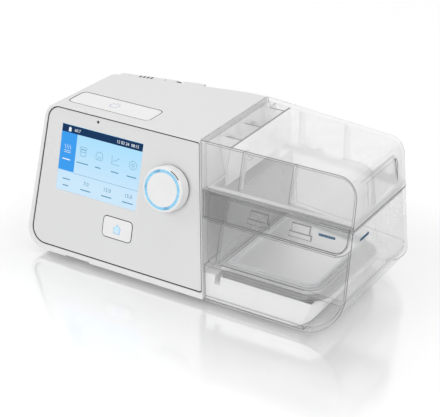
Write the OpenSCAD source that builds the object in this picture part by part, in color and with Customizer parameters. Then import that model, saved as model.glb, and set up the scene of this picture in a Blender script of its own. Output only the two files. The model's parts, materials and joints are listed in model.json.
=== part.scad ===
// Bilevel airway pressure machine with a clear humidifier chamber.
// X runs along the front, Y from the front to the back, Z up. All sizes are in millimetres.

/* [Case] */
// Width of the whole machine at its widest
total_w = 265; // [258:1:275]
// Depth from the lower front edge to the end of the air outlet
total_d = 145; // [143:1:150]
// Height of the case from its underside to its top
case_h = 109; // [107:1:114]
// Height that the feet lift the case
foot_h = 4; // [3:0.5:6]
// Width of the main unit along its underside
unit_w = 157.4; // [154:0.2:162]
// Depth of the case along its underside at the peak of the curved back
case_d = 134.6; // [132:0.2:137]
// Distance of the back's peak from the left side
peak_x = 132; // [128:1:136]
// Wall thickness of the moulded case
wall = 2.4; // [2:0.1:2.8]
// Backward lean of the front face in degrees
face_tilt = 14.2; // [12:0.1:16]
// Forward lean of the back wall in degrees
back_lean = 6.2; // [5:0.1:7.5]
// Slope of the left half of the back in plan, in degrees
back_slope_left = 12; // [10:0.5:14]
// Slope of the right half of the back in plan, in degrees
back_slope_right = 8; // [6:0.5:10]
// Radius that blends the two halves of the back
peak_r = 100; // [60:5:140]
// Inward lean of the left side in degrees
lean_left = 2.6; // [1.5:0.1:4]
// Inward lean of the right side in degrees
lean_right = 3.2; // [2:0.1:4.5]
// Narrowing of the left side towards the back in degrees
taper_left = 2; // [0.5:0.1:3]
// Lean of the joint between main unit and water chamber in degrees
split_lean = 10.1; // [8.5:0.1:11.5]
// Radius of the upper left corner
corner_tl = 12; // [8:0.5:14]
// Radius of the lower left corner
corner_bl = 16; // [12:0.5:18]
// Radius of the upper right corner, on the lid
corner_tr = 15; // [11:0.5:18]
// Radius of the lower right corner, on the tub
corner_br = 30; // [26:0.5:33]
// Radius of the upright edges at the back
corner_back = 10; // [6:0.5:12]

/* [Front] */
// Width of the rim left of the front panel
rim_left = 3.9; // [3:0.1:5]
// Width of the rim above the front panel
rim_top = 2.8; // [2.6:0.1:4]
// Width of the rim below the front panel
rim_bottom = 4.9; // [4:0.1:6]
// Width of the rim right of the front panel
rim_right = 1.2; // [1:0.1:1.6]
// Depth of the front panel below the rim
panel_sink = 1; // [0.6:0.1:1.4]
// Thickness of the front panel
panel_t = 3.2; // [2.8:0.1:3.6]
// Gap round the front panel
panel_gap = 0.5; // [0.3:0.05:0.8]
// Width of the display opening
display_w = 71.5; // [68:0.5:74]
// Height of the display opening
display_h = 50; // [46:0.5:54]
// Centre of the display from the left side
display_x = 56.4; // [55:0.2:60]
// Centre of the display up the face
display_v = 73.8; // [72:0.2:76]
// Diameter of the dial
dial_d = 33; // [30:0.5:35]
// Height of the dial above the front panel
dial_h = 11.4; // [10:0.2:13]
// Centre of the dial from the left side
dial_x = 118.8; // [117:0.2:121]
// Centre of the dial up the face
dial_v = 73; // [71:0.2:77]
// Outer diameter of the dial's light ring
ring_d = 28.8; // [26:0.2:29]
// Width of the dial's light ring
ring_w = 1.8; // [1.2:0.1:2.4]
// Diameter of the encoder shaft
shaft_d = 6; // [5.5:0.1:6.5]
// Push travel of the dial
dial_travel = 0.8; // [0.5:0.1:1]
// Width of the home button
home_w = 25.2; // [22:0.2:28]
// Height of the home button
home_h = 15.4; // [13:0.2:17]
// Corner radius of the home button
home_r = 3; // [1.5:0.1:4]
// Centre of the home button from the left side
home_x = 78.8; // [76:0.2:84]
// Centre of the home button up the face
home_v = 31.9; // [30:0.1:33]
// Push travel of the home button
home_travel = 0.6; // [0.3:0.1:0.7]
// Diameter of the light sensor window
sensor_d = 2; // [1.5:0.1:3]
// Centre of the light sensor from the left side
sensor_x = 51.5; // [40:0.5:80]

/* [Start button] */
// Width of the start button
start_w = 71; // [64:0.2:71.2]
// Depth of the start button
start_l = 21; // [18:0.2:22]
// Centre of the start button from the left side
start_x = 53.6; // [53.4:0.2:57]
// Distance from the upper front edge to the start button
start_inset = 8; // [6:0.2:8.6]
// Corner radius of the start button
start_r = 4; // [2:0.2:6]
// Push travel of the start button
start_travel = 0.8; // [0.4:0.1:1]
// Gap round every button
button_gap = 0.4; // [0.3:0.05:0.6]

/* [Back] */
// Distance of the raised rear field from the left side
hump_x = 20; // [18:0.5:23]
// Width of the raised rear field
hump_w = 67; // [62:0.5:70]
// Lower edge of the raised rear field
hump_z = 52; // [46:0.5:56]
// Height that the rear field stands out
hump_t = 4.6; // [3.5:0.1:5.5]
// Width of the filter door
door_w = 29; // [26:0.2:31]
// Left edge of the filter door from the edge of the raised field
door_inset = 6; // [5:0.2:7]
// Opening angle of the filter door in degrees
door_swing = 80; // [60:5:85]
// Outer diameter of the air outlet
outlet_d = 22; // [21:0.1:23]
// Bore of the air outlet
outlet_bore = 18.6; // [17:0.1:19.2]
// Distance of the air outlet from the left side
outlet_x = 117; // [115:0.5:119]
// Height of the air outlet above the underside
outlet_z = 68; // [64:0.5:70]
// Distance of the power inlet from the left side
power_x = 70; // [66:0.5:74]
// Height of the power inlet above the underside
power_z = 21; // [20:0.5:24]
// Diameter of the power inlet's socket
power_d = 6.4; // [5.5:0.1:7]

/* [Card slot] */
// Distance of the card door from the front
card_y = 52; // [46:0.5:60]
// Length of the card door
card_l = 32; // [30:0.5:36]
// Height of the card door
card_h = 11; // [10:0.5:13]
// Opening angle of the card door in degrees
card_swing = 100; // [70:5:110]

/* [Water chamber] */
// Thickness of the clear chamber walls
clear_wall = 2.4; // [2:0.1:2.6]
// Gap between the main unit and the water chamber
dock_gap = 0.8; // [0.6:0.05:1]
// Height of the joint between tub and lid
tub_h = 75; // [73:0.5:77]
// Gap between tub and lid
lid_gap = 0.3; // [0.2:0.05:0.5]
// Thickness of the tank floor
floor_t = 3; // [2.4:0.1:3.4]
// Lower edge of the lid's front flap
flap_z = 57.4; // [55:0.2:60]
// Thickness of the lid's front flap
flap_t = 1.8; // [1.4:0.1:2]
// Corner radius of the lid's front flap
flap_r = 10; // [6:0.5:12]
// Gap behind the lid's front flap
flap_gap = 1.6; // [1.4:0.1:2]
// Width of each latch boss behind the flap
latch_w = 17; // [14:0.5:19]
// Width of the air duct along the left of the lid
duct_w = 18.6; // [17:0.2:20]
// Opening angle of the lid in degrees
lid_swing = 95; // [60:5:100]
// Diameter of the lid's hinge pins
pin_d = 3; // [2.5:0.1:3.5]
// Travel of the chamber when it is drawn off to the side
chamber_travel = 130; // [115:5:160]
// Diameter of the air ports between main unit and lid
port_d = 17; // [15:0.5:18]
// Length of the water level marks
mark_l = 12.4; // [10:0.2:14]

/* [Heater] */
// Height of the heater block above the underside
block_h = 18.2; // [17:0.1:18.6]
// Distance of the block's right end from the machine's right side
block_side = 19; // [17:1:23]
// Gap between the block and the chamber's front wall
block_gap = 0.5; // [0.4:0.1:1.6]
// Thickness of the heater plate
heater_t = 2.6; // [2:0.1:3]
// Thickness of the metal plate in the tub's floor
base_metal_t = 3.2; // [2.4:0.1:3.6]

/* [Blower] */
// Distance of the blower axis from the left side
blower_x = 90; // [88:0.5:92]
// Distance of the blower axis from the peak of the back
blower_back = 58.6; // [56.6:0.5:60.6]
// Outer radius of the blower case
blower_r = 32; // [30:0.5:33]
// Radius of the blower wheel
wheel_r = 24; // [20:0.5:25]
// Number of blades on the blower wheel
blade_count = 11; // [7:1:15]

/* [Hidden] */

$fn = 64;
far = 360;
hair = 0.02;

housing_white = "#ececec";
panel_grey = "#dcdcdc";
button_white = "#f4f4f4";
clear_plastic = [0.86, 0.88, 0.9, 0.45];
board_green = "#2f6b46";
dark_plastic = "#33363a";
metal_grey = "#a9adb1";
rubber_grey = "#5b5e62";

// Places along the front section.
heater_sink = 0.4;
metal_lip = 0.4;
metal_z = block_h - heater_sink + heater_t + 0.35;
floor_z = metal_z + base_metal_t - metal_lip + 0.05;
floor_top = floor_z + floor_t;
left_x0 = -corner_bl * (tan(lean_left) + 1 / cos(lean_left) - 1);
right_x0 = total_w + corner_br * (tan(lean_right) + 1 / cos(lean_right) - 1);
face_h = case_h / cos(face_tilt);
panel_back = -panel_sink - panel_t;
panel_v0 = rim_bottom;
panel_v1 = face_h - rim_top;
sensor_v = panel_v1 - 3.8;
running = 0.05;
fit_gap = 0.15;
touch = 0.1;

// Stack behind the front panel, counted out of the face.
window_t = 1.2;
module_w = 76.8;
module_h = 60;
module_t = 3.2;
module_out = panel_back - 0.2 - module_t;
module_v = display_v - 2;
carrier_t = 3.4;
board_out = module_out - carrier_t - 0.2;
board_t = 1.6;
bush_r = 3.6;
shaft_r = shaft_d / 2;
dial_cap_t = 1.4;
dial_top = dial_h - panel_sink;
dial_base = dial_travel - panel_sink + 0.9;
shaft_out = dial_top - dial_cap_t - 1.4;
dial_wall = 1.7;
hub_r = 5.4;
plunger_t = 1;

function left_x(z) = left_x0 + z * tan(lean_left);
function right_x(z) = right_x0 - z * tan(lean_right);
function split_x(z) = unit_w - z * tan(split_lean);
function face_y(z) = z * tan(face_tilt);
function back_y(x, z) = case_d - z * tan(back_lean)
    - (x < peak_x ? (peak_x - x) * tan(back_slope_left) : (x - peak_x) * tan(back_slope_right));

// Outlines with true arcs at their corners. Points run counter-clockwise. Each arc stands
// out by half a hair, so that it crosses the sides.
function unit(v) = v / norm(v);
function inner_normal(a, b) = let (d = unit(b - a)) [-d[1], d[0]];
function moved_corner(p, c, s, d) =
    let (n1 = inner_normal(p, c), n2 = inner_normal(c, s)) c + d * (n1 + n2) / (1 + n1 * n2);
function moved_in(pts, d) = let (n = len(pts))
    [for (i = [0:n - 1]) moved_corner(pts[(i + n - 1) % n], pts[i], pts[(i + 1) % n], d)];
function half_angle(p, c, s) = acos(unit(p - c) * unit(s - c)) / 2;

module rounded_outline(pts, radii, inset = 0) {
    q = moved_in(pts, inset);
    n = len(q);
    r = [for (i = [0:n - 1]) radii[i] > 0 ? max(radii[i] - inset, 0.4) : 0];
    polygon([for (i = [0:n - 1])
        let (p = q[(i + n - 1) % n], c = q[i], s = q[(i + 1) % n], t = r[i] / tan(half_angle(p, c, s)))
        each r[i] > 0 ? [c + t * unit(p - c), c + t * unit(s - c)] : [c]]);
    for (i = [0:n - 1])
        if (r[i] > 0) {
            p = q[(i + n - 1) % n];
            c = q[i];
            s = q[(i + 1) % n];
            reach = r[i] / sin(half_angle(p, c, s));
            translate(c + reach * unit(unit(p - c) + unit(s - c)))
                circle(r[i] + hair / 2);
        }
}

module rounded_rect(w, h, r) {
    square([w, h - 2 * r], center = true);
    square([w - 2 * r, h], center = true);
    for (sx = [-1, 1], sy = [-1, 1])
        translate([sx * (w / 2 - r), sy * (h / 2 - r)])
            circle(r);
}

// Frames. The case frame has its origin at the lower front left of the case.
module in_case() {
    translate([-total_w / 2, -total_d / 2, foot_h])
        children();
}

module at(p) {
    in_case()
        translate(p)
            children();
}

module at_each(places, z) {
    for (p = places)
        at([p[0], p[1], z])
            children();
}

module raise(z) {
    translate([0, 0, z])
        children();
}

// Rods along X and Y.
module rod_x(h, r, center = false) {
    rotate([0, 90, 0])
        cylinder(h = h, r = r, center = center);
}

module rod_y(h, r) {
    rotate([-90, 0, 0])
        cylinder(h = h, r = r);
}

// Face frame: X along the face, Y up the face, Z out of it.
module on_face(x = 0, v = 0, out = 0) {
    in_case()
        rotate([90 - face_tilt, 0, 0])
            translate([x, v, out])
                children();
}

// Split frame: X out of the main unit's right wall, Y to the back, Z up the wall.
module on_split(out = 0, y = 0, up = 0) {
    at([unit_w, 0, 0])
        rotate([0, -split_lean, 0])
            translate([out, y, up])
                children();
}

// Left frame: X into the left wall, Y to the back, Z up the wall.
module on_left(inward = 0, y = 0, up = 0) {
    at([left_x0, 0, 0])
        rotate([0, lean_left, -taper_left])
            translate([inward, y, up])
                children();
}

// Hinge frame of the lid: X along the back wall to the right, Z up, origin on the pins.
hinge_out = 1.4;
hinge_z = tub_h + lid_gap / 2;
hinge_x = (unit_w + total_w) / 2;
module on_hinge() {
    at([hinge_x, back_y(hinge_x, hinge_z) + hinge_out, hinge_z])
        rotate([0, 0, -back_slope_right])
            children();
}

module along_y(y0 = -far / 2, y1 = far) {
    translate([0, y1, 0])
        rotate([90, 0, 0])
            linear_extrude(y1 - y0)
                children();
}

// The flat faces of the outer form, as inner normals in the case frame.
n_top = [0, 0, -1];
n_bottom = [0, 0, 1];
n_left = [cos(lean_left) * cos(taper_left), -cos(lean_left) * sin(taper_left), -sin(lean_left)];
n_right = [-cos(lean_right), 0, -sin(lean_right)];
n_back_left = unit([tan(back_slope_left), -1, -tan(back_lean)]);
n_back_right = unit([-tan(back_slope_right), -1, -tan(back_lean)]);

function left_corner(z) = [left_x(z), 0, z];
function right_corner(z) = [right_x(z), 0, z];

// Tool that rounds the edge through p0 between two faces, for a form moved inwards by d.
// Its arc stands out of the faces by a hair, so that it crosses them.
module edge_trim(p0, n1, n2, r, d) {
    along = unit(cross(n1, n2));
    side = cross(along, n1);
    m1 = [1, 0];
    m2 = [n2 * n1, n2 * side];
    mid = (m1 + m2) / (1 + m1 * m2);
    rr = max(r - d, 0.4);
    centre = (d - hair + rr) * mid;
    reach = 2;
    in_case()
        multmatrix([[n1[0], side[0], along[0], p0[0]], [n1[1], side[1], along[1], p0[1]],
                    [n1[2], side[2], along[2], p0[2]], [0, 0, 0, 1]])
            linear_extrude(2 * far, center = true)
                difference() {
                    polygon([centre - rr * m1, centre - (rr + reach) * m1, centre - (rr + reach) * mid,
                             centre - (rr + reach) * m2, centre - rr * m2]);
                    translate(centre)
                        circle(rr, $fn = rr > 60 ? 360 : $fn);
                }
}

module flat_form(d, drop) {
    turn = cos(back_lean);
    intersection() {
        in_case()
            along_y()
                polygon([[-far / 4, d - drop], [right_x(d - drop) - d / cos(lean_right), d - drop],
                         [right_x(case_h - d) - d / cos(lean_right), case_h - d], [-far / 4, case_h - d]]);
        on_left(d, -far / 2, -far / 2)
            cube([far, far, far]);
        in_case()
            rotate([-face_tilt, 0, 0])
                translate([-far / 2, d, -far / 2])
                    cube([far + 200, far, far]);
        in_case()
            rotate([back_lean, 0, 0])
                translate([peak_x, 0, -far / 2])
                    linear_extrude(far)
                        polygon(moved_in([[-far / 2, -far / 2], [far / 2, -far / 2],
                                          [far / 2, (case_d - far / 2 * tan(back_slope_right)) * turn],
                                          [0, case_d * turn],
                                          [-far / 2, (case_d - far / 2 * tan(back_slope_left)) * turn]], d));
    }
}

module peak_trim(d) {
    edge_trim([peak_x, case_d, 0], n_back_left, n_back_right, peak_r, d);
}

// The form with its left edges rounded, and the form with its right edges rounded.
module left_form(d = 0) {
    difference() {
        flat_form(d, 0);
        edge_trim(left_corner(0), n_left, n_bottom, corner_bl, d);
        edge_trim(left_corner(case_h), n_left, n_top, corner_tl, d);
        edge_trim(back_corner_left, n_left, n_back_left, corner_back, d);
        peak_trim(d);
    }
}

module right_form(d = 0, drop = 0) {
    difference() {
        flat_form(d, drop);
        if (drop == 0)
            edge_trim(right_corner(0), n_right, n_bottom, corner_br, d);
        edge_trim(right_corner(case_h), n_right, n_top, corner_tr, d);
        edge_trim(back_corner_right, n_right, n_back_right, corner_back, d);
        peak_trim(d);
    }
}

// Points on the upright back edges, at the height of the underside.
left_edge_x = (left_x0 + (case_d - peak_x * tan(back_slope_left)) * tan(taper_left))
    / (1 - tan(back_slope_left) * tan(taper_left));
back_corner_left = [left_edge_x, back_y(left_edge_x, 0), 0];
back_corner_right = [right_x0, back_y(right_x0, 0), 0];

// Half space left of the joint, moved left by d, and the half space right of it, moved right by d.
module left_of_split(d = 0) {
    on_split(-far - d, -far / 2, -far / 2)
        cube([far, far, far]);
}

module right_of_split(d = 0) {
    on_split(d, -far / 2, -far / 2)
        cube([far, far, far]);
}

module unit_solid(d = 0) {
    intersection() {
        left_form(d);
        left_of_split(d);
    }
}

module chamber_solid(d = 0) {
    intersection() {
        right_form(d);
        right_of_split(dock_gap + d);
    }
}

// Box between two heights of the case, everywhere in plan.
module layer(z0, z1) {
    at([-far / 4, -far / 4, z0])
        cube([far + far / 4, far, z1 - z0]);
}

module case_box(p, q) {
    at(p)
        cube(q - p);
}

// Front panel outline, grown by g to the left and below, by gt above and by gr to the right.
module panel_outline(g, gt, gr) {
    v0 = panel_v0 - g;
    v1 = panel_v1 + gt;
    z0 = v0 * cos(face_tilt);
    z1 = v1 * cos(face_tilt);
    rounded_outline([[left_x(z0) + rim_left - g, v0], [split_x(z0) - rim_right + gr, v0],
                     [split_x(z1) - rim_right + gr, v1], [left_x(z1) + rim_left - g, v1]],
                    [corner_bl - rim_left + g, 1.5, 1.5, corner_tl - rim_top + g]);
}

panel_flange_t = 1.4;
opening_depth = wall + fit_gap + panel_flange_t + 0.4;

// Main housing
start_y = face_y(case_h) + start_inset + start_l / 2;
flange = 1.5;
flange_t = 1.4;
stem_r = 2;
post_r = 3;
boss_r = 4;
screw_r = 1.5;
base_split = wall + fit_gap;
rear_window = [18, 9, peak_x + 1, case_h - 11];
rear_window_r = 6;
base_left = 12;
base_front = 8;
base_back = 9;
boss_at = [[16, 16], [15, case_d - 56.6], [unit_w - 12.4, 16], [unit_w - 11.4, case_d - 30.6]];
boss_h = 13;
start_board_z = case_h - 12;
start_post_y = start_y + start_l / 2 + button_gap + flange + 0.5 + post_r;
start_post_x = 26;

module base_plan(gap) {
    rounded_outline([[base_left, base_front], [unit_w + 4, base_front],
                     [unit_w + 4, back_y(unit_w + 4, 0) - base_back],
                     [peak_x, case_d - base_back - 2], [base_left, back_y(base_left, 0) - base_back]],
                    [6, 0, 0, 0, 6], gap);
}

module rear_outline(gap) {
    x0 = rear_window[0] + gap;
    z0 = rear_window[1] + gap;
    x1 = rear_window[2] - gap;
    z1 = rear_window[3] - gap;
    rounded_outline([[x0, z0], [x1, z0], [x1, z1], [x0, z1]],
                    [rear_window_r, rear_window_r, rear_window_r, rear_window_r]);
}

module hump_outline() {
    translate([hump_x, hump_z])
        square([hump_w, case_h - 0.3 - hump_z]);
}

port_y_supply = case_d - 75;
port_y_return = case_d - 44.1;
port_up = (tub_h + case_h) / 2 + 1;
seal_t = 1.4;

module port_hole(y, r) {
    on_split(-wall - 4, y, port_up)
        rod_x(h = 12, r = r);
}

module case_boss(p) {
    side = p[0] < unit_w / 2 ? -20 : 20;
    intersection() {
        union() {
            at([p[0], p[1], base_split])
                cylinder(h = boss_h, r = boss_r);
            at([min(p[0], p[0] + side), p[1] - 1, base_split])
                cube([20, 2, boss_h]);
        }
        unit_solid(0.6);
    }
}

module start_posts(z0, h, r) {
    for (sx = [-1, 1])
        at([start_x + sx * start_post_x, start_post_y, z0])
            cylinder(h = h, r = r);
}

module main_housing() {
    color(housing_white)
    difference() {
        union() {
            difference() {
                unit_solid();
                unit_solid(wall);
            }
            for (p = boss_at)
                case_boss(p);
            start_posts(start_board_z + board_t, 12 - wall - board_t + touch, post_r);
        }
        on_face(0, 0, -opening_depth)
            linear_extrude(opening_depth + 2)
                panel_outline(panel_gap, panel_gap, panel_gap);
        at([0, 0, -1])
            linear_extrude(base_split + 1)
                base_plan(0);
        in_case()
            along_y(80, far / 2)
                rear_outline(0);
        at([start_x, start_y, case_h - wall - 1])
            linear_extrude(wall + 2)
                rounded_rect(start_w + 2 * button_gap, start_l + 2 * button_gap, start_r + button_gap);
        for (y = [port_y_supply, port_y_return])
            port_hole(y, port_d / 2 + seal_t);
        at_each(boss_at, -1)
            cylinder(h = boss_h + 0.6, r = screw_r - 0.2);
        start_posts(start_board_z, 8, 1);
        on_left(-1, card_y - card_l / 2, card_up - card_h / 2)
            cube([1 + card_recess, card_l, card_h]);
        on_left(-1, card_y - card_slot_l / 2, card_up - card_slot_h / 2)
            cube([wall + 4, card_slot_l, card_slot_h]);
        on_left(card_hinge_in, card_hinge_y, card_up - card_h / 2)
            cylinder(h = card_h, r = card_barrel_r + 0.2, $fn = 32);
        on_left(card_hinge_in, card_hinge_y, card_up - card_h / 2 - 2)
            cylinder(h = card_h + 4, r = card_pin_r + running, $fn = 32);
        case_box([37, -5, -1], [58, face_y(0) + opening_depth, 0.8]);
    }
}

// Base tray with the heater block
foot_r = 6;
foot_sink = 1;
foot_places = [[24, 24], [24, case_d - 46.6], [130, 18], [134, case_d - 22.6], [total_w - 37, 24],
               [total_w - 39, case_d - 38.6]];
board_z = 20;
main_board_box = [11, 22, 54, 72];
board_holes = [for (x = [main_board_box[0] + 9, main_board_box[2] - 4],
                    y = [main_board_box[1] + 4, main_board_box[3] - 4]) [x, y]];

block_back = 12.5;
block_end = total_w - block_side;
module block_plan(gap, z = block_h) {
    y0 = face_y(z) + clear_wall / cos(face_tilt) + block_gap;
    y1 = back_y(block_end, 0) - block_back;
    y2 = back_y(unit_w, 0) - block_back;
    rounded_outline([[unit_w - 12, y0], [block_end, y0], [block_end, y1], [unit_w, y2], [unit_w - 12, y2]],
                    [0, 18, 14, 0, 0], gap);
}

// The block's front leans with the chamber's front wall.
module block_front(d) {
    on_face(0, -far / 2, -far - clear_wall - block_gap - d)
        cube(far);
}

module block_section(d) {
    rounded_outline([[unit_w - 40, 0.4], [block_end, 0.4], [block_end, far / 2], [unit_w - 40, far / 2]],
                    [0, 20, 0, 0], d);
}

slot_x = split_x(0) + 6;
slot_w = 4.2;
module heater_outline(inset) {
    intersection() {
        block_plan(1 + inset);
        translate([slot_x + slot_w + 1.6 + inset, -far / 2])
            square([far, far]);
    }
}

module heater_block() {
    difference() {
        intersection() {
            at([0, 0, 0.4])
                linear_extrude(block_h - 0.4)
                    block_plan(0, 0);
            block_front(0);
            in_case()
                along_y()
                    block_section(0);
            right_of_split(fit_gap);
        }
        intersection() {
            at([slot_x + slot_w + 1.6, 0, wall])
                cube([far / 2, far / 2, block_h - 2 * wall]);
            at([0, 0, wall])
                linear_extrude(block_h - 2 * wall)
                    block_plan(wall, 0);
            block_front(wall);
            in_case()
                along_y()
                    block_section(wall);
        }
        at([0, 19, wall])
            cube([slot_x + slot_w + 3, case_d - 50, 5]);
        at([slot_x, -10, 12])
            cube([slot_w, far / 2, 20]);
        at([0, 0, block_h - heater_sink])
            linear_extrude(10)
                heater_outline(-fit_gap);
        at([0, 0, block_h - wall - 1])
            linear_extrude(10)
                heater_outline(5);
    }
}

module base_tray() {
    color(housing_white)
    difference() {
        union() {
            in_case()
                linear_extrude(wall)
                    base_plan(0.25);
            heater_block();
            at_each(board_holes, wall - touch)
                cylinder(h = board_z - wall + touch, r = post_r);
        }
        at_each(foot_places, -1)
            cylinder(h = 1 + foot_sink, r = foot_r + fit_gap);
        at_each(board_holes, board_z - 8)
            cylinder(h = 10, r = 1);
        at_each(boss_at, -1) {
            cylinder(h = 10, r = screw_r + 0.2);
            cylinder(h = 1 + screw_head, r = 3.2);
        }
    }
}
screw_head = 1.4;

// Rear cover with the raised field
door_x = hump_x + door_inset;
door_z = hump_z + 5;
door_top = case_h - 0.3;
door_gap = 0.35;
door_wall = 1.8;
door_pin_r = 1.2;
door_hinge_x = door_x + door_w / 2;
door_hinge_y = back_y(door_hinge_x, door_z + 2.4) + hump_t - 2.4;
door_hinge_z = door_z + 2.4;
door_lean = atan(tan(back_lean) * cos(back_slope_left));
module on_door() {
    at([door_hinge_x, door_hinge_y, door_hinge_z])
        rotate([door_lean, 0, back_slope_left])
            children();
}

// Upright shaft behind the door, wider by gap on both sides, from low above the hinge.
module door_shaft(gap, low) {
    on_door()
        translate([-door_w / 2 - gap, -far / 9, low])
            cube([door_w + 2 * gap, far / 4, far / 2]);
}

// Boss behind the cover with a flat face, for a round fitting.
module cover_boss(x, z, r, depth) {
    intersection() {
        at([x, back_y(x, z) - depth, z])
            rod_y(h = depth + 4, r = r);
        unit_solid(0.4);
    }
}

module behind_cover(y0) {
    in_case()
        along_y(y0, far / 2)
            children();
}

module rear_cover() {
    color(housing_white)
    difference() {
        union() {
            difference() {
                union() {
                    intersection() {
                        unit_solid();
                        behind_cover(80)
                            rear_outline(0.25);
                    }
                    intersection() {
                        unit_solid(wall + 0.15);
                        behind_cover(80)
                            rear_outline(-2);
                    }
                }
                unit_solid(wall + cover_lip);
                difference() {
                    unit_solid(wall);
                    behind_cover(70)
                        difference() {
                            rear_outline(-10);
                            rear_outline(4);
                        }
                }
            }
            intersection() {
                behind_cover(60)
                    hump_outline();
                difference() {
                    left_form(-hump_t);
                    left_form(-0.15);
                }
            }
            intersection() {
                behind_cover(60)
                    intersection() {
                        hump_outline();
                        rear_outline(1);
                    }
                difference() {
                    left_form(-1);
                    left_form(1);
                }
            }
            cover_boss(outlet_x, outlet_z, outlet_d / 2 + collar_w + 3.2, port_seat);
            cover_boss(power_x, power_z, power_body_r + 3, power_seat);
        }
        intersection() {
            left_form(-hump_t + 2);
            behind_cover(60)
                translate([door_x + door_w + 5, hump_z + 2])
                    square([hump_x + hump_w - door_x - door_w - 7, rear_window[3] - hump_z - 5]);
        }
        door_shaft(door_gap, door_z - door_hinge_z - door_gap);
        at([outlet_x, 100, outlet_z])
            rod_y(h = 60, r = outlet_d / 2 + collar_w + 0.1);
        at([power_x, 60, power_z])
            rod_y(h = far / 4, r = power_body_r + 0.1);
        on_door()
            rod_x(h = door_w + 4, r = door_pin_r + running, center = true);
        at([notch_x, 60, case_h - 2.6])
            cube([5, 80, 4]);
    }
}
cover_lip = 1.8;
port_seat = 9;
collar_w = 1;
collar_out = 3.4;
power_seat = 6.5;
notch_x = hump_x + 45;

// Front panel
module front_panel() {
    color(panel_grey)
    difference() {
        union() {
            on_face(0, 0, panel_back)
                linear_extrude(panel_t)
                    panel_outline(0, 0, 0);
            intersection() {
                on_face(0, 0, -wall - fit_gap - panel_flange_t)
                    linear_extrude(panel_flange_t)
                        panel_outline(1.2, 0.7, 0);
                unit_solid(wall + 0.1);
            }
            for (p = display_posts)
                on_face(p[0], p[1], board_out)
                    cylinder(h = panel_back - board_out + touch, r = post_r);
        }
        on_face(display_x, display_v, panel_back - 1)
            linear_extrude(panel_t + 2)
                rounded_rect(display_w, display_h, 0.8);
        on_face(dial_x, dial_v, panel_back - 1)
            cylinder(h = panel_t + 2, r = bush_r + 0.2);
        on_face(home_x, home_v, panel_back - 1)
            linear_extrude(panel_t + 2)
                rounded_rect(home_w + 2 * button_gap, home_h + 2 * button_gap, home_r + button_gap);
        on_face(sensor_x, sensor_v, panel_back - 1)
            cylinder(h = panel_t + 2, r = sensor_d / 2, $fn = 32);
        for (p = display_posts)
            on_face(p[0], p[1], board_out - 1)
                cylinder(h = 6, r = 1);
    }
}

// Display
board_x0 = display_x - module_w / 2 - 8;
board_x1 = dial_x + 12;
board_v0 = home_v - 9;
board_v1 = module_v + module_h / 2 + 1.6;
display_posts = [[board_x0 + 4, board_v0 + 4], [board_x1 - 3.6, board_v0 + 4], [board_x1 - 3.6, board_v1 - 4],
                 [board_x0 + 4, board_v0 + 40]];

module display_window() {
    color([0.1, 0.35, 0.6, 0.8])
    on_face(display_x, display_v, -panel_sink - 0.2 - window_t)
        linear_extrude(window_t)
            rounded_rect(display_w - 2 * fit_gap, display_h - 2 * fit_gap, 0.7);
}

module display_module() {
    color("#8fcaf2")
    on_face(display_x, module_v, module_out)
        linear_extrude(module_t)
            rounded_rect(module_w, module_h, 1);
    color("#8fcaf2")
    on_face(display_x, display_v, module_out + module_t - touch)
        linear_extrude(-panel_sink - 0.2 - window_t - module_out - module_t)
            rounded_rect(display_w - 2, display_h - 2, 0.5);
}

module display_carrier() {
    color(dark_plastic)
    on_face(display_x, module_v, board_out + 0.1)
        linear_extrude(carrier_t)
            difference() {
                rounded_rect(module_w, module_h, 1.5);
                rounded_rect(module_w - 6, module_h - 6, 1.5);
            }
}

module display_board() {
    color(board_green)
    difference() {
        on_face((board_x0 + board_x1) / 2, (board_v0 + board_v1) / 2, board_out - board_t)
            linear_extrude(board_t)
                rounded_rect(board_x1 - board_x0, board_v1 - board_v0, 1.5);
        for (p = display_posts)
            on_face(p[0], p[1], board_out - 4)
                cylinder(h = 8, r = 1.3);
    }
}

module sensor_window() {
    color(dark_plastic)
    on_face(sensor_x, sensor_v, 0) {
        raise(panel_back - 1)
            cylinder(h = panel_t + 0.9, r = sensor_d / 2 - running, $fn = 32);
        raise(panel_back - 2)
            cylinder(h = 1.9, r = sensor_d / 2 + 0.8, $fn = 32);
    }
}

// Dial. The encoder sits on the display board, its bush passes through the panel.
encoder_w = 12;

module encoder_body() {
    color(metal_grey)
    difference() {
        union() {
            on_face(dial_x, dial_v, board_out + (panel_back - 0.3 - board_out) / 2)
                cube([encoder_w, encoder_w, panel_back - 0.3 - board_out], center = true);
            on_face(dial_x, dial_v, panel_back - 1)
                cylinder(h = panel_t + 1.4, r = bush_r);
        }
        on_face(dial_x, dial_v, board_out + 1.2)
            cylinder(h = 20, r = shaft_r + running);
    }
}

module dial_plunger() {
    color(dark_plastic)
    on_face(dial_x, dial_v, board_out + 1.3 + dial_travel)
        cylinder(h = plunger_t, r = shaft_r);
}

module dial_shaft() {
    color(metal_grey)
    difference() {
        on_face(dial_x, dial_v, board_out + 1.4 + dial_travel + plunger_t)
            cylinder(h = shaft_out - board_out - 1.4 - dial_travel - plunger_t, r = shaft_r);
        on_face(dial_x, dial_v, 3)
            translate([-shaft_r, shaft_r - 1.2, 0])
                cube([2 * shaft_r, 4, far / 8]);
    }
}

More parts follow.
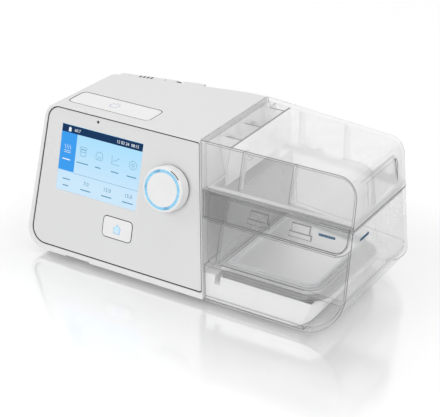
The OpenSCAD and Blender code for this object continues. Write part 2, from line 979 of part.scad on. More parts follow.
module dial_skirt() {
    color(button_white)
    on_face(dial_x, dial_v, 0) {
        difference() {
            union() {
                raise(dial_base)
                    cylinder(h = dial_top - 1 - dial_base, r = dial_d / 2);
                raise(dial_top - 1)
                    cylinder(h = 1, r1 = dial_d / 2, r2 = dial_d / 2 - 1);
            }
            raise(dial_base - 1)
                cylinder(h = dial_top - dial_cap_t - 1.4 - dial_base + 1, r = dial_d / 2 - dial_wall);
            raise(dial_top - dial_cap_t)
                cylinder(h = 4, r = ring_d / 2 + running);
        }
        difference() {
            raise(dial_base + 3.4)
                cylinder(h = dial_top - dial_cap_t - 1 - dial_base - 3.4, r = hub_r);
            raise(dial_base)
                difference() {
                    cylinder(h = shaft_out - dial_base + touch, r = shaft_r + running);
                    translate([-shaft_r, shaft_r - 1.2 + running, 0])
                        cube([2 * shaft_r, 4, far / 8]);
                }
        }
    }
}

module dial_ring() {
    color("#7fcbf0")
    on_face(dial_x, dial_v, dial_top - dial_cap_t + 0.1)
        difference() {
            cylinder(h = dial_cap_t - 0.2, r = ring_d / 2);
            raise(-1)
                cylinder(h = dial_cap_t + 2, r = ring_d / 2 - ring_w);
        }
}

module dial_cap() {
    color(button_white)
    on_face(dial_x, dial_v, dial_top - dial_cap_t + 0.1)
        difference() {
            cylinder(h = dial_cap_t - 0.1, r = ring_d / 2 - ring_w - running);
            raise(dial_cap_t + 60 - 0.4)
                sphere(r = 60.3, $fn = 96);
        }
}

// Home button and its switch
home_out = -panel_sink + 0.3;
switch_t = 3.4;

module home_button() {
    color(button_white) {
        on_face(home_x, home_v, panel_back - 0.1 - flange_t)
            linear_extrude(home_out - panel_back + 0.1 + flange_t)
                rounded_rect(home_w, home_h, home_r);
        on_face(home_x, home_v, panel_back - 0.1 - flange_t)
            linear_extrude(flange_t)
                rounded_rect(home_w + 2 * flange, home_h + 2 * flange, home_r);
        on_face(home_x, home_v, board_out + switch_t + 0.1)
            cylinder(h = panel_back - board_out - switch_t - flange_t, r = stem_r);
    }
}

module tact_switch(t) {
    translate([-3, -3, 0])
        cube([6, 6, t - 0.8]);
    cylinder(h = t, r = 1.4);
}

module home_switch() {
    color(dark_plastic)
    on_face(home_x, home_v, board_out)
        tact_switch(switch_t - home_travel);
}

// Start button on the top, with its board
start_top = case_h - 0.1;

module start_button() {
    color(button_white)
    in_case() {
        translate([start_x, start_y, case_h - wall - 0.1 - flange_t])
            linear_extrude(start_top - case_h + wall + 0.1 + flange_t)
                rounded_rect(start_w, start_l, start_r);
        translate([start_x, start_y, case_h - wall - 0.1 - flange_t])
            linear_extrude(flange_t)
                rounded_rect(start_w + 2 * flange, start_l + 2 * flange, start_r + flange);
        for (sx = [-1, 1])
            translate([start_x + sx * start_w / 4, start_y, start_board_z + board_t + switch_t + 0.1])
                cylinder(h = case_h - wall - flange_t - start_board_z - board_t - switch_t, r = stem_r);
    }
}

start_board_l = 20;
module start_board() {
    color(board_green)
    difference() {
        at([start_x, start_post_y - start_board_l * 0.3, start_board_z])
            linear_extrude(board_t)
                rounded_rect(start_w - 3, start_board_l, 1.5);
        start_posts(start_board_z - 1, 4, 1.3);
    }
}

module start_switches() {
    color(dark_plastic)
    for (sx = [-1, 1])
        at([start_x + sx * start_w / 4, start_y, start_board_z + board_t])
            tact_switch(switch_t - start_travel);
}

// Main board with its parts
module main_board() {
    color(board_green)
    difference() {
        case_box([main_board_box[0], main_board_box[1], board_z],
                 [main_board_box[2], main_board_box[3], board_z + board_t]);
        at_each(board_holes, board_z - 1)
            cylinder(h = 4, r = 1.3);
    }
}

board_top = board_z + board_t;
chip_t = 1.4;
chip_boxes = [[main_board_box[0] + 25, main_board_box[1] + 5, 10, 10],
              [main_board_box[0] + 13, main_board_box[3] - 4.6, 12, 3.6]];
module board_chips() {
    color(dark_plastic) {
        for (p = chip_boxes)
            case_box([p[0], p[1], board_top], [p[0] + p[2], p[1] + p[3], board_top + chip_t]);
        case_box([ribbon_x - 1, ribbon_end - 2, board_top], [ribbon_x + ribbon_w + 1, ribbon_end + 2.4, board_top + 3]);
    }
}

module backup_cell() {
    color(metal_grey)
    at([46, 47, board_top])
        cylinder(h = 4, r = 6.4);
}

module sounder() {
    color(dark_plastic)
    at([46, 60, board_top])
        difference() {
            cylinder(h = 5, r = 5.5);
            raise(3)
                cylinder(h = 3, r = 1.2);
        }
}

card_up = (board_top + 1.6) / cos(lean_left);
card_recess = 1.7;
card_slot_l = 25.4;
card_slot_h = 3;
card_pin_r = 0.6;
card_barrel_r = 0.75;
card_hinge_y = card_y - card_l / 2 + 1.5;
card_hinge_in = 1.1;

socket_l = 27;
socket_w = 28;
socket_h = 3.4;
module card_socket() {
    color(metal_grey)
    difference() {
        case_box([main_board_box[0], card_y - socket_w / 2, board_top],
                 [main_board_box[0] + socket_l, card_y + socket_w / 2, board_top + socket_h]);
        case_box([main_board_box[0] - 1, card_y - socket_w / 2 + 1.8, board_top + 0.5],
                 [main_board_box[0] + socket_l - 2, card_y + socket_w / 2 - 1.8, board_top + socket_h - 0.7]);
    }
}

// Card door, hinged on its front edge
module card_door() {
    low = card_up - card_h / 2 + 0.3;
    color(housing_white) {
        on_left(0.1, card_hinge_y, low)
            cube([1.2, card_y + card_l / 2 - 0.4 - card_hinge_y, card_h - 0.6]);
        on_left(card_hinge_in, card_hinge_y, low)
            cylinder(h = card_h - 0.6, r = card_barrel_r, $fn = 32);
        on_left(card_hinge_in, card_hinge_y, low - 1.6)
            cylinder(h = card_h + 2.6, r = card_pin_r, $fn = 32);
    }
}

// Ribbon from the display board down to the main board
ribbon_w = 18;
ribbon_x = 18;
ribbon_t = 0.5;
ribbon_r = 5;
ribbon_z = board_top + 10;
ribbon_start = face_y(ribbon_z) - (board_out - board_t) / cos(face_tilt) + 0.1;
ribbon_end = ribbon_start + 2 * ribbon_r;
module ribbon_cable() {
    color("#d8d2c4")
    at([ribbon_x, ribbon_start, 0])
        rotate([90, 0, 90])
            linear_extrude(ribbon_w) {
                translate([0, ribbon_z])
                    square([ribbon_r + touch, ribbon_t]);
                translate([ribbon_r, ribbon_z - ribbon_r])
                    intersection() {
                        difference() {
                            circle(ribbon_r + ribbon_t);
                            circle(ribbon_r);
                        }
                        square(20);
                    }
                translate([2 * ribbon_r, board_top + 3])
                    square([ribbon_t, ribbon_z - ribbon_r - board_top - 3 + touch]);
            }
}

// Power inlet
power_body_r = 6;
power_pin_r = 1.1;
module power_inlet() {
    color(dark_plastic)
    at([power_x, back_y(power_x, power_z), power_z])
        rotate([-90, 0, 0]) {
            difference() {
                union() {
                    raise(-12)
                        cylinder(h = 12.4, r = power_body_r);
                    raise(-power_seat - 1.5)
                        cylinder(h = 1.5, r = power_body_r + 1.8);
                }
                raise(-9.5)
                    cylinder(h = 12, r = power_d / 2);
            }
            raise(-9.6)
                cylinder(h = 9, r = power_pin_r, $fn = 32);
        }
}

// Filter door, hinged at its lower edge, with louvres in its top and back
louvre_w = 1.5;
louvre_pitch = 3;
louvre_count = 4;
module door_side(y0, z0) {
    on_door()
        translate([-far / 2, y0, z0])
            cube([far, far, far]);
}

module filter_door() {
    color(housing_white)
    difference() {
        union() {
            difference() {
                intersection() {
                    left_form(-hump_t);
                    door_shaft(0, door_z - door_hinge_z);
                    layer(0, door_top);
                    union() {
                        door_side(-2.2, 0);
                        on_door()
                            rod_x(h = door_w * 2, r = 2.35, center = true);
                    }
                }
                intersection() {
                    left_form(-hump_t + door_wall);
                    door_shaft(-door_wall, 2);
                    layer(0, door_top - door_wall);
                }
                difference() {
                    left_form(-0.3);
                    layer(0, rear_window[3] - 1);
                }
            }
            on_door()
                rod_x(h = door_w + 3.4, r = door_pin_r, center = true);
        }
        for (i = [0:louvre_count - 1])
            at([door_hinge_x + (i - (louvre_count - 1) / 2) * louvre_pitch - louvre_w / 2, 60, door_top - 4])
                cube([louvre_w, far / 4, 8]);
        for (i = [0:floor((door_top - door_z - 20) / 3.2) - 1])
            on_door()
                translate([-9, -4, 10 + 3.2 * i])
                    cube([18, 20, 1.4]);
    }
}

foam_gap = 0.4;
foam_back = -9;
module filter_foam() {
    color("#3a3d40")
    difference() {
        intersection() {
            door_shaft(-door_wall - foam_gap, 3.4);
            layer(0, door_top - door_wall - foam_gap);
            left_form(-hump_t + door_wall + foam_gap);
            door_side(foam_back, -10);
        }
        difference() {
            left_form(-0.3);
            layer(0, rear_window[3] - 1);
        }
    }
}

// Silencer box between filter and blower
silencer = [22, case_d - 50.6, 58];
silencer_wall = 1.6;
silencer_top = case_h - 6;
silencer_slope_y = foam_back - 0.1;
module silencer_space(d) {
    intersection() {
        case_box([silencer[0] + d, silencer[1] + d, wall + touch + d], [silencer[2] - d, far / 2, silencer_top - d]);
        on_door()
            translate([-far / 2, silencer_slope_y - far / 2 - d, -far / 2])
                cube([far, far / 2, far]);
    }
}

intake_z = 66;
intake_r = 10;
module silencer_box() {
    color(dark_plastic)
    difference() {
        silencer_space(0);
        silencer_space(silencer_wall);
        in_case()
            along_y(silencer[1] + 6, far / 2)
                translate([door_x + 4, door_z + 8])
                    square([door_w - 8, silencer_top - door_z - 14]);
        at([silencer[2] - 5, blower_duct_y, intake_z])
            rod_x(h = 10, r = intake_r - 1.4);
    }
}

module silencer_foam() {
    color("#3a3d40")
    difference() {
        intersection() {
            silencer_space(silencer_wall + 0.3);
            layer(0, door_z + 6);
        }
        case_box([silencer[0] + 9, silencer[1] + 5, 12], [silencer[2] - 7, far / 2, silencer_top]);
    }
}

// Blower: motor below, wheel in the volute above it, inlet on top
blower_y = case_d - blower_back;
blower_duct_y = case_d - 42.6;
motor_r = 16;
motor_z0 = 7;
motor_z1 = 23;
volute_z0 = 23.2;
volute_z1 = 43;
volute_wall = 1.8;
volute_split = 34;
bell_r = 12;
nozzle_r = 9.4;
nozzle_z = volute_split;
nozzle_y = port_y_supply;
nozzle_end = blower_x + blower_r + 1.6;

module on_blower(z = 0) {
    at([blower_x, blower_y, z])
        children();
}

module blower_hollow() {
    on_blower(volute_z0 + volute_wall)
        cylinder(h = volute_z1 - volute_z0 - 2 * volute_wall, r = blower_r - volute_wall);
    at([blower_x, nozzle_y, nozzle_z])
        rod_x(h = nozzle_end - blower_x + 1, r = nozzle_r - 1.4);
}

module blower_solid() {
    on_blower(volute_z0)
        cylinder(h = volute_z1 - volute_z0, r = blower_r);
    at([blower_x, nozzle_y, nozzle_z])
        rod_x(h = nozzle_end - blower_x, r = nozzle_r);
}

module blower_lower_case() {
    color("#c9ccd0")
    difference() {
        intersection() {
            blower_solid();
            layer(0, volute_split);
        }
        blower_hollow();
        on_blower()
            cylinder(h = far / 8, r = 3.2);
    }
}

module blower_upper_case() {
    color("#c9ccd0")
    difference() {
        union() {
            intersection() {
                blower_solid();
                layer(volute_split, far / 2);
            }
            on_blower(volute_z1 - touch)
                cylinder(h = 6, r = bell_r + 1.8);
        }
        blower_hollow();
        on_blower(volute_split + 1)
            cylinder(h = far / 8, r = bell_r);
    }
}

module blower_motor() {
    color(metal_grey)
    difference() {
        on_blower(motor_z0)
            cylinder(h = motor_z1 - motor_z0, r = motor_r);
        on_blower(motor_z0 + 2)
            cylinder(h = far / 8, r = wheel_shaft_r + running);
    }
}

wheel_shaft_r = 2;
module blower_wheel() {
    hub_z = volute_z0 + volute_wall + 1.2;
    color("#e2e4e6") {
        on_blower(hub_z)
            cylinder(h = 1.4, r = wheel_r);
        on_blower(hub_z)
            cylinder(h = 9, r = 4);
        on_blower(motor_z0 + 2.2)
            cylinder(h = hub_z - motor_z0 - 2.2 + touch, r = wheel_shaft_r);
        for (i = [0:blade_count - 1])
            on_blower(hub_z)
                rotate([0, 0, i * 360 / blade_count])
                    translate([9, -0.6, 0])
                        rotate([0, 0, -30])
                            cube([wheel_r - 11, 1.2, 8.6]);
    }
}

mount_count = 3;
module blower_mounts() {
    color(rubber_grey) {
        for (i = [0:mount_count - 1])
            on_blower(wall)
                rotate([0, 0, 90 + i * 360 / mount_count])
                    translate([blower_r - 7, 0, 0])
                        cylinder(h = volute_z0 - wall, r = 4);
        on_blower(wall)
            cylinder(h = motor_z0 - wall, r = motor_r - 3);
    }
}

module intake_path(r, bell, x0, z0) {
    at([x0, blower_duct_y, intake_z])
        rod_x(h = blower_x - x0, r = r);
    at([blower_x, blower_duct_y, intake_z]) {
        sphere(r = r, $fn = 48);
        rotate([90, 0, 0])
            cylinder(h = blower_duct_y - blower_y, r = r);
    }
    on_blower(intake_z - 1)
        sphere(r = bell, $fn = 48);
    on_blower(z0)
        cylinder(h = intake_z - 0.6 - z0, r = bell);
}

module intake_duct() {
    color(dark_plastic)
    difference() {
        intake_path(intake_r, bell_r + 1.4, silencer[2] + 0.1, volute_z1 + 6.2);
        intake_path(intake_r - 1.4, bell_r, silencer[2] - 1, volute_z1);
    }
}

sleeve_t = 1.5;
sleeve_l = 4.4;
module blower_sleeve() {
    color(rubber_grey)
    at([nozzle_end + 0.2 - sleeve_l / 2, nozzle_y, nozzle_z])
        rotate([0, 90, 0])
            difference() {
                cylinder(h = sleeve_l, r = nozzle_r + sleeve_t);
                raise(-1)
                    cylinder(h = sleeve_l + 2, r = nozzle_r + 0.06);
            }
}

// Ducts along the right wall, in the split frame
duct_r = 9.6;
duct_t = 1.4;
riser_out = -wall - duct_r - 1;
module supply_path(r) {
    on_split(riser_out, nozzle_y, nozzle_z)
        cylinder(h = port_up - nozzle_z, r = r);
    on_split(riser_out, nozzle_y, port_up)
        sphere(r = r, $fn = 48);
    on_split(riser_out, nozzle_y, nozzle_z)
        sphere(r = r, $fn = 48);
    on_split(riser_out, nozzle_y, port_up)
        rod_x(h = -riser_out - wall - 0.1, r = r);
}

module supply_duct() {
    stub_x = nozzle_end + 0.4;
    stub_l = split_x(nozzle_z) + riser_out - stub_x;
    color("#c9ccd0")
    difference() {
        union() {
            supply_path(duct_r);
            at([stub_x, nozzle_y, nozzle_z])
                rod_x(h = stub_l, r = nozzle_r);
        }
        supply_path(duct_r - duct_t);
        on_split(riser_out, nozzle_y, port_up)
            rod_x(h = far / 8, r = duct_r - duct_t);
        at([stub_x - 1, nozzle_y, nozzle_z])
            rod_x(h = stub_l + 1, r = nozzle_r - duct_t);
    }
}

bend_more = 0.3;
module return_path(r) {
    on_split(riser_out, port_y_return, port_up)
        rod_x(h = -riser_out - wall - 0.1, r = r);
    on_split(riser_out, port_y_return, port_up)
        sphere(r = r + bend_more, $fn = 48);
    at([outlet_x, port_y_return, outlet_z])
        sphere(r = r + bend_more, $fn = 48);
    return_leg(r);
    at([outlet_x, port_y_return, outlet_z])
        rod_y(h = outlet_back - port_seat - 2.7 - port_y_return, r = r);
}

outlet_back = back_y(outlet_x, outlet_z);
function on_split_point(out, up) =
    [unit_w + out * cos(split_lean) - up * sin(split_lean), out * sin(split_lean) + up * cos(split_lean)];

module return_leg(r) {
    a = on_split_point(riser_out, port_up);
    d = [outlet_x, outlet_z] - a;
    at([a[0], port_y_return, a[1]])
        rotate([0, 90 - atan2(d[1], d[0]), 0])
            cylinder(h = norm(d), r = r);
}

module return_duct() {
    color("#c9ccd0")
    difference() {
        return_path(duct_r);
        return_path(duct_r - duct_t);
        on_split(riser_out, port_y_return, port_up)
            rod_x(h = far / 8, r = duct_r - duct_t);
        at([outlet_x, port_y_return, outlet_z])
            rod_y(h = far / 4, r = duct_r - duct_t);
    }
}

module port_seals() {
    color(rubber_grey)
    for (y = [port_y_supply, port_y_return])
        on_split(-wall - 0.05, y, port_up)
            rotate([0, 90, 0])
                difference() {
                    cylinder(h = wall + dock_gap - 0.25, r = port_d / 2 + seal_t - 0.06);
                    raise(-1)
                        cylinder(h = 8, r = port_d / 2);
                }
}

module outlet_port() {
    color("#d5d8db")
    at([outlet_x, 0, outlet_z])
        rotate([-90, 0, 0])
            difference() {
                union() {
                    raise(outlet_back - port_seat)
                        cylinder(h = total_d - outlet_back + port_seat, r = outlet_d / 2);
                    raise(outlet_back - port_seat - 2.6)
                        cylinder(h = collar_out + port_seat + 2.6, r = outlet_d / 2 + collar_w);
                    raise(outlet_back - port_seat - 2.6)
                        cylinder(h = 2.5, r = outlet_d / 2 + 2.5);
                }
                raise(outlet_back - port_seat - 4)
                    cylinder(h = far / 4, r = outlet_bore / 2);
            }
}

// Heater
module heater_plate() {
    color("#55585c")
    at([0, 0, block_h - heater_sink])
        linear_extrude(heater_t)
            heater_outline(0);
}

module heater_film() {
    color("#b8763a")
    at([0, 0, block_h - heater_sink - 0.4])
        linear_extrude(0.4)
            heater_outline(6);
}

// Feet and screws
module rubber_feet() {
    color(rubber_grey)
    at_each(foot_places, -foot_h)
        cylinder(h = foot_h + foot_sink - 0.05, r = foot_r);
}

module screw(len, head_r, head_t) {
    difference() {
        union() {
            cylinder(h = head_t, r = head_r, $fn = 32);
            cylinder(h = len, r = screw_r - 0.35, $fn = 32);
        }
        raise(-1)
            cylinder(h = 1.8, r = 1.1, $fn = 6);
    }
}

module case_screws() {
    color(metal_grey)
    at_each(boss_at, 0.3)
        screw(12, 2.9, screw_head - 0.4);
}

module small_screw() {
    scale(0.75)
        screw(8, 2.6, 1.5);
}

small_head = 1.13;
module board_screws() {
    color(metal_grey) {
        at_each(board_holes, board_top + small_head)
            mirror([0, 0, 1])
                small_screw();
        for (p = display_posts)
            on_face(p[0], p[1], board_out - board_t - small_head)
                small_screw();
        for (sx = [-1, 1])
            at([start_x + sx * start_post_x, start_post_y, start_board_z - small_head])
                small_screw();
    }
}

// Water chamber: tub with its skirt, floor and inner left wall
tank_left = split_x(tub_h) + duct_w;
tank_wall = 2;
flap_back_t = 2;
flap_x1 = total_w - 5.4;
base_inset = 9;
knuckle_r = 3.4;
knuckle_l = 9;
ear_l = 4;
knuckle_at = [-33, 33];
latch_places = [unit_w + 24.9, total_w - 50.2];
latch_v = flap_z + 5.2;
ledge_h = 2;
ledge_w = 2.2;

// The flap's outline up the face, from beyond the chamber's left edge to its right corner.
module flap_outline(grow, top) {
    v0 = flap_z / cos(face_tilt) - grow;
    v1 = top / cos(face_tilt);
    x0 = split_x(flap_z) - 20;
    rounded_outline([[x0, v0], [flap_x1 + grow, v0], [flap_x1 + grow, v1], [x0, v1]],
                    [0, flap_r + grow, 0, 0]);
}

module flap_prism(grow, top, back, front) {
    on_face(0, 0, -back)
        linear_extrude(back + front)
            flap_outline(grow, top);
}

module latch_boss(x) {
    on_face(x, latch_v, -flap_t - flap_gap - touch) {
        cube([latch_w, 3.6, flap_gap - 0.3]);
        translate([1.5, 0, 0])
            cube([latch_w - 3, 9.6, 0.9]);
    }
}

module base_hole(inset) {
    intersection() {
        block_plan(base_inset + inset);
        translate([tank_left + tank_wall + 3 + inset, -far / 2])
            square([far, far]);
    }
}

module hinge_rod(x0, x1, r) {
    on_hinge()
        translate([x0, 0, 0])
            rod_x(h = x1 - x0, r = r);
}

// Tub ears stand on both sides of the lid's knuckle.
module tub_ear(x, s) {
    x0 = x + s * (knuckle_l + ear_l + 0.4) / 2 - ear_l / 2;
    hinge_rod(x0, x0 + ear_l, knuckle_r);
    on_hinge()
        translate([x0, -hinge_out - clear_wall / 2, -knuckle_r - 3])
            cube([ear_l, hinge_out + clear_wall / 2, knuckle_r + 3]);
}

// Space that the tub's ears need in the lid, and the lid's knuckle in the tub.
module ear_space(x, s) {
    on_hinge()
        translate([x + s * (knuckle_l + ear_l + 0.4) / 2 - ear_l / 2 - 0.2, -knuckle_r - 0.3, -knuckle_r - 4])
            cube([ear_l + 0.4, 2 * knuckle_r + 2, 2 * knuckle_r + 4.3]);
}

module knuckle_space(x) {
    on_hinge()
        translate([x - knuckle_l / 2 - 0.2, -knuckle_r - 0.3, -knuckle_r - 0.3])
            cube([knuckle_l + 0.4, 2 * knuckle_r + 3, 2 * knuckle_r + 4]);
}

// Space inside the rim, which runs behind the flap's recess, moved inwards by d.
module rim_space(d) {
    intersection() {
        chamber_solid(clear_wall + d);
        on_face(-far / 2, -far / 2, -far - flap_t - flap_gap - flap_back_t - d)
            cube([far + 200, far, far]);
    }
}

module tub_shell() {
    difference() {
        intersection() {
            chamber_solid();
            layer(0, tub_h);
        }
        // Water space and the dry bay left of it
        difference() {
            intersection() {
                chamber_solid(clear_wall);
                layer(floor_top, tub_h + 1);
            }
            case_box([tank_left, -20, 0], [tank_left + tank_wall, far / 2, tub_h - ledge_h]);
            flap_prism(2.6, tub_h + 1, flap_t + flap_gap + flap_back_t, 2);
            difference() {
                layer(tub_h - 2 * ledge_h, tub_h - ledge_h);
                rim_space(ledge_w);
            }
        }
        // Space under the floor, open below and to the left
        intersection() {
            right_form(clear_wall);
            layer(-1, floor_z);
        }
        intersection() {
            right_form(clear_wall + hair, 10);
            case_box([0, -20, -5], [right_x0 - corner_br, far / 2, floor_z - 1]);
        }
    }
}

module chamber_tub() {
    color(clear_plastic) {
        difference() {
            union() {
                tub_shell();
                for (x = knuckle_at, s = [-1, 1])
                    tub_ear(x, s);
            }
            flap_prism(0.5, tub_h + 20, flap_t + flap_gap, 2);
            at([0, 0, floor_z - 1])
                linear_extrude(floor_t + 2)
                    base_hole(0);
            at([0, 0, floor_z - 1])
                linear_extrude(1 + metal_lip)
                    base_hole(-3.2);
            for (x = knuckle_at)
                knuckle_space(x);
            hinge_rod(-50, 50, pin_d / 2 + running);
        }
        for (x = latch_places)
            latch_boss(x);
    }
}

module tub_base_metal() {
    color("#b9bdc1")
    at([0, 0, metal_z])
        linear_extrude(base_metal_t)
            base_hole(-3);
}

module tub_base_seal() {
    color(rubber_grey)
    at([0, 0, floor_z + metal_lip - 0.05])
        linear_extrude(floor_t - metal_lip)
            difference() {
                base_hole(0.05);
                base_hole(2.4);
            }
}

mark_t = 0.3;
mark_h = 1.7;
module level_marks() {
    color("#1f5f7f") {
        on_face(total_w - 28.3, tub_h - 7, -flap_t - flap_gap)
            cube([mark_l, mark_h, mark_t]);
        at([right_x0, 0, 0])
            rotate([0, -lean_right, 0])
                translate([0, 29.5, tub_h - 11])
                    cube([mark_t, mark_l, mark_h]);
    }
}

// Lid with its front flap, ribs and side grip
grip = [42, case_d - 46.6];
grip_z = [tub_h + 9, case_h - 8];
grip_d = 2.2;
lid_low = tub_h + lid_gap;

// Deepest at its upper edge, running out at its lower edge.
module grip_wedge(extra, more) {
    length = grip[1] - grip[0] + 2 * more;
    high = grip_z[1] - grip_z[0] + more;
    at([right_x(grip_z[0]), grip[1] + more, grip_z[0]])
        rotate([0, -lean_right, 0])
            translate([extra, 0, 0])
                rotate([90, 0, 0])
                    linear_extrude(length)
                        polygon([[0, -0.5], [20, -5], [20, high], [-grip_d, high]]);
}

module lid_shell() {
    difference() {
        intersection() {
            chamber_solid();
            layer(lid_low, far / 2);
        }
        difference() {
            chamber_solid(clear_wall);
            grip_wedge(-clear_wall, 2);
            lid_ribs();
            difference() {
                layer(0, lid_low + shelf_t);
                rim_space(seal_w + 0.9);
            }
        }
    }
}

rib_t = 1.2;
rib_d = 5;
shelf_t = 1.6;
module lid_ribs() {
    for (x = [unit_w + 14.6, total_w - 53.6]) {
        on_face(x, (lid_low + 6) / cos(face_tilt), -clear_wall - rib_d)
            cube([rib_t, case_h, rib_d + 1]);
        case_box([x, back_y(x, case_h) - clear_wall - rib_d, lid_low + 6], [x + rib_t, far / 2, case_h]);
    }
    difference() {
        case_box([total_w - 30, 56, lid_low + 4], [total_w, 56 + rib_t, case_h]);
        right_form(clear_wall + 2.6);
    }
}

// Knuckle of the lid with its arm.
module lid_knuckle(x) {
    hinge_rod(x - knuckle_l / 2, x + knuckle_l / 2, knuckle_r);
    on_hinge()
        translate([x - knuckle_l / 2, -hinge_out - clear_wall, 0.3])
            cube([knuckle_l, hinge_out + clear_wall, knuckle_r + 4]);
}

module chamber_lid() {
    color(clear_plastic)
    difference() {
        union() {
            lid_shell();
            intersection() {
                flap_prism(0, tub_h + 4, flap_t, 2);
                chamber_solid();
            }
            for (x = knuckle_at)
                lid_knuckle(x);
        }
        grip_wedge(0, 0);
        for (y = [port_y_supply, port_y_return])
            on_split(0, y, port_up)
                rod_x(h = 8, r = port_d / 2);
        hinge_rod(-50, 50, pin_d / 2 + running);
        for (x = knuckle_at, s = [-1, 1])
            ear_space(x, s);
    }
}

// Duct insert under the left of the lid: right wall, floor and cross walls
insert_t = 1.4;
cross_y = [case_d - 88.4, case_d - 61.6, case_d - 26.6];
insert_z = tub_h + 5;
insert_half = (case_h - clear_wall - insert_z - insert_t) / 2;
insert_x = split_x(case_h) + dock_gap + clear_wall + duct_w;
module lid_duct() {
    color(clear_plastic)
    difference() {
        intersection() {
            union() {
                case_box([insert_x, 26, insert_z], [insert_x + insert_t, far / 2, case_h]);
                for (y = cross_y)
                    case_box([0, y, insert_z], [insert_x + 1, y + insert_t, case_h]);
                case_box([insert_x - 13.4, cross_y[2], insert_z], [insert_x - 12, far / 2, case_h]);
                case_box([0, cross_y[0], insert_z], [insert_x + 1, cross_y[2] + 1, insert_z + insert_t]);
            }
            chamber_solid(clear_wall + touch / 2);
        }
        for (y = [(cross_y[0] + cross_y[1]) / 2, (cross_y[1] + cross_y[2]) / 2])
            at([insert_x - 6, y, insert_z + insert_t + insert_half])
                rod_x(h = 12, r = insert_half / 1.8);
    }
}

// Seal on the ledge inside the tub's rim, drawn in so that it lifts out past the leaning walls.
seal_w = 1.5;
module seal_space(d) {
    intersection() {
        rim_space(fit_gap + d);
        raise(-ledge_h - 0.2)
            rim_space(fit_gap + d);
    }
}

module lid_seal() {
    color(rubber_grey)
    difference() {
        intersection() {
            seal_space(0);
            layer(tub_h - ledge_h + 0.05, lid_low - 0.02);
        }
        seal_space(seal_w);
    }
}

module hinge_pins() {
    color(metal_grey)
    for (x = knuckle_at)
        hinge_rod(x - knuckle_l / 2 - ear_l, x + knuckle_l / 2 + ear_l, pin_d / 2);
}

main_housing();
base_tray();
rear_cover();
front_panel();
display_window();
display_module();
display_carrier();
display_board();
sensor_window();
encoder_body();
dial_plunger();
dial_shaft();
dial_skirt();
dial_ring();
dial_cap();
home_button();
home_switch();
start_button();
start_board();
start_switches();
main_board();
board_chips();
backup_cell();
sounder();
card_socket();
card_door();
ribbon_cable();
power_inlet();
filter_door();
filter_foam();
silencer_box();
silencer_foam();
intake_duct();
blower_lower_case();
blower_upper_case();
blower_motor();
blower_mounts();
blower_wheel();
blower_sleeve();
supply_duct();
return_duct();
port_seals();
outlet_port();
heater_plate();
heater_film();
rubber_feet();
case_screws();
board_screws();
chamber_tub();
tub_base_metal();
tub_base_seal();
level_marks();
chamber_lid();
lid_duct();
lid_seal();
hinge_pins();
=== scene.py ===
import json
import math

import bpy
from bpy.props import FloatProperty, FloatVectorProperty
from mathutils import Matrix, Vector


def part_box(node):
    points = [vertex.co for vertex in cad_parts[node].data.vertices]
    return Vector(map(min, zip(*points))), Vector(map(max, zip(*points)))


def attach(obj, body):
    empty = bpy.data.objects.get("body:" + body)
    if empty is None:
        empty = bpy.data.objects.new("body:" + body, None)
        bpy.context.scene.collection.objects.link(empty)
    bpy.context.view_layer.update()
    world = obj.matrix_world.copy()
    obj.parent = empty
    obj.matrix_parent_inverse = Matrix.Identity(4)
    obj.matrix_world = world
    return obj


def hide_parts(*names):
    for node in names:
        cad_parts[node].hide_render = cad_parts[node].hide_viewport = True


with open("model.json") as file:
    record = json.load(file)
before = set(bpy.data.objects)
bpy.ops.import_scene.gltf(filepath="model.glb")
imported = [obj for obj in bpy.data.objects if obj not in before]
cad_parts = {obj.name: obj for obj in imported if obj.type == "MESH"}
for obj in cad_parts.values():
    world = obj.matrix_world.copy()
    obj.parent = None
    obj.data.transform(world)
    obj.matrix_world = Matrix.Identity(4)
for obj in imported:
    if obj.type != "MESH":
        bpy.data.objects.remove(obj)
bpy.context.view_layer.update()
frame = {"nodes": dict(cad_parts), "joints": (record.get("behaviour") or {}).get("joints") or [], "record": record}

bl_info = {
    "name": "Bilevel airway pressure machine",
    "version": (1, 0, 0),
    "blender": (4, 5, 0),
    "location": "View3D > Sidebar > Machine",
    "description": "Dresses the machine's construction model with its finished surfaces and fine pieces",
    "category": "Object",
}

MM = 0.001
NODES = frame["nodes"]
JOINTS = {joint["name"]: joint for joint in frame["joints"]}
SLOTS = {row["node"]: row["material_slot"] for row in frame["record"]["subparts"]}

# The face frame comes from the dial's axis: X along the face, UP up the face, OUT out of it.
OUT = Vector(JOINTS["dial_spin"]["axis"]).normalized()
ALONG = Vector((1, 0, 0))
UP = OUT.cross(ALONG)
FACE_TURN = Matrix((ALONG, UP, OUT)).transposed()
# The case's lower front left corner, and half the machine's footprint.
CASE_CORNER = Vector((-132.5, -72.5, 4)) * MM
HALF_FOOTPRINT = (132.5 * MM, 72.5 * MM, 0)
DIAL_CENTRE = Vector(JOINTS["dial_spin"]["pos_m"])


def on_case(x, y, z):
    """Placement level with the case, in millimetres from its lower front left."""
    return Matrix.Translation(CASE_CORNER + Vector((x, y, z)) * MM)


def on_face(x, v, out):
    """Placement on the front face: x from the left, v up the face, out of the face, in millimetres."""
    place = CASE_CORNER + (ALONG * x + UP * v + OUT * out) * MM
    return Matrix.Translation(place) @ FACE_TURN.to_4x4()


def on_dial(out):
    """Placement on the dial's axis, out of the face in millimetres."""
    return Matrix.Translation(DIAL_CENTRE + OUT * out * MM) @ FACE_TURN.to_4x4()


# Sizes and colours that a user would change


def colour_property(name, description, default):
    return FloatVectorProperty(name=name, description=description, default=default, subtype="COLOR", size=3,
                               min=0.0, max=1.0)


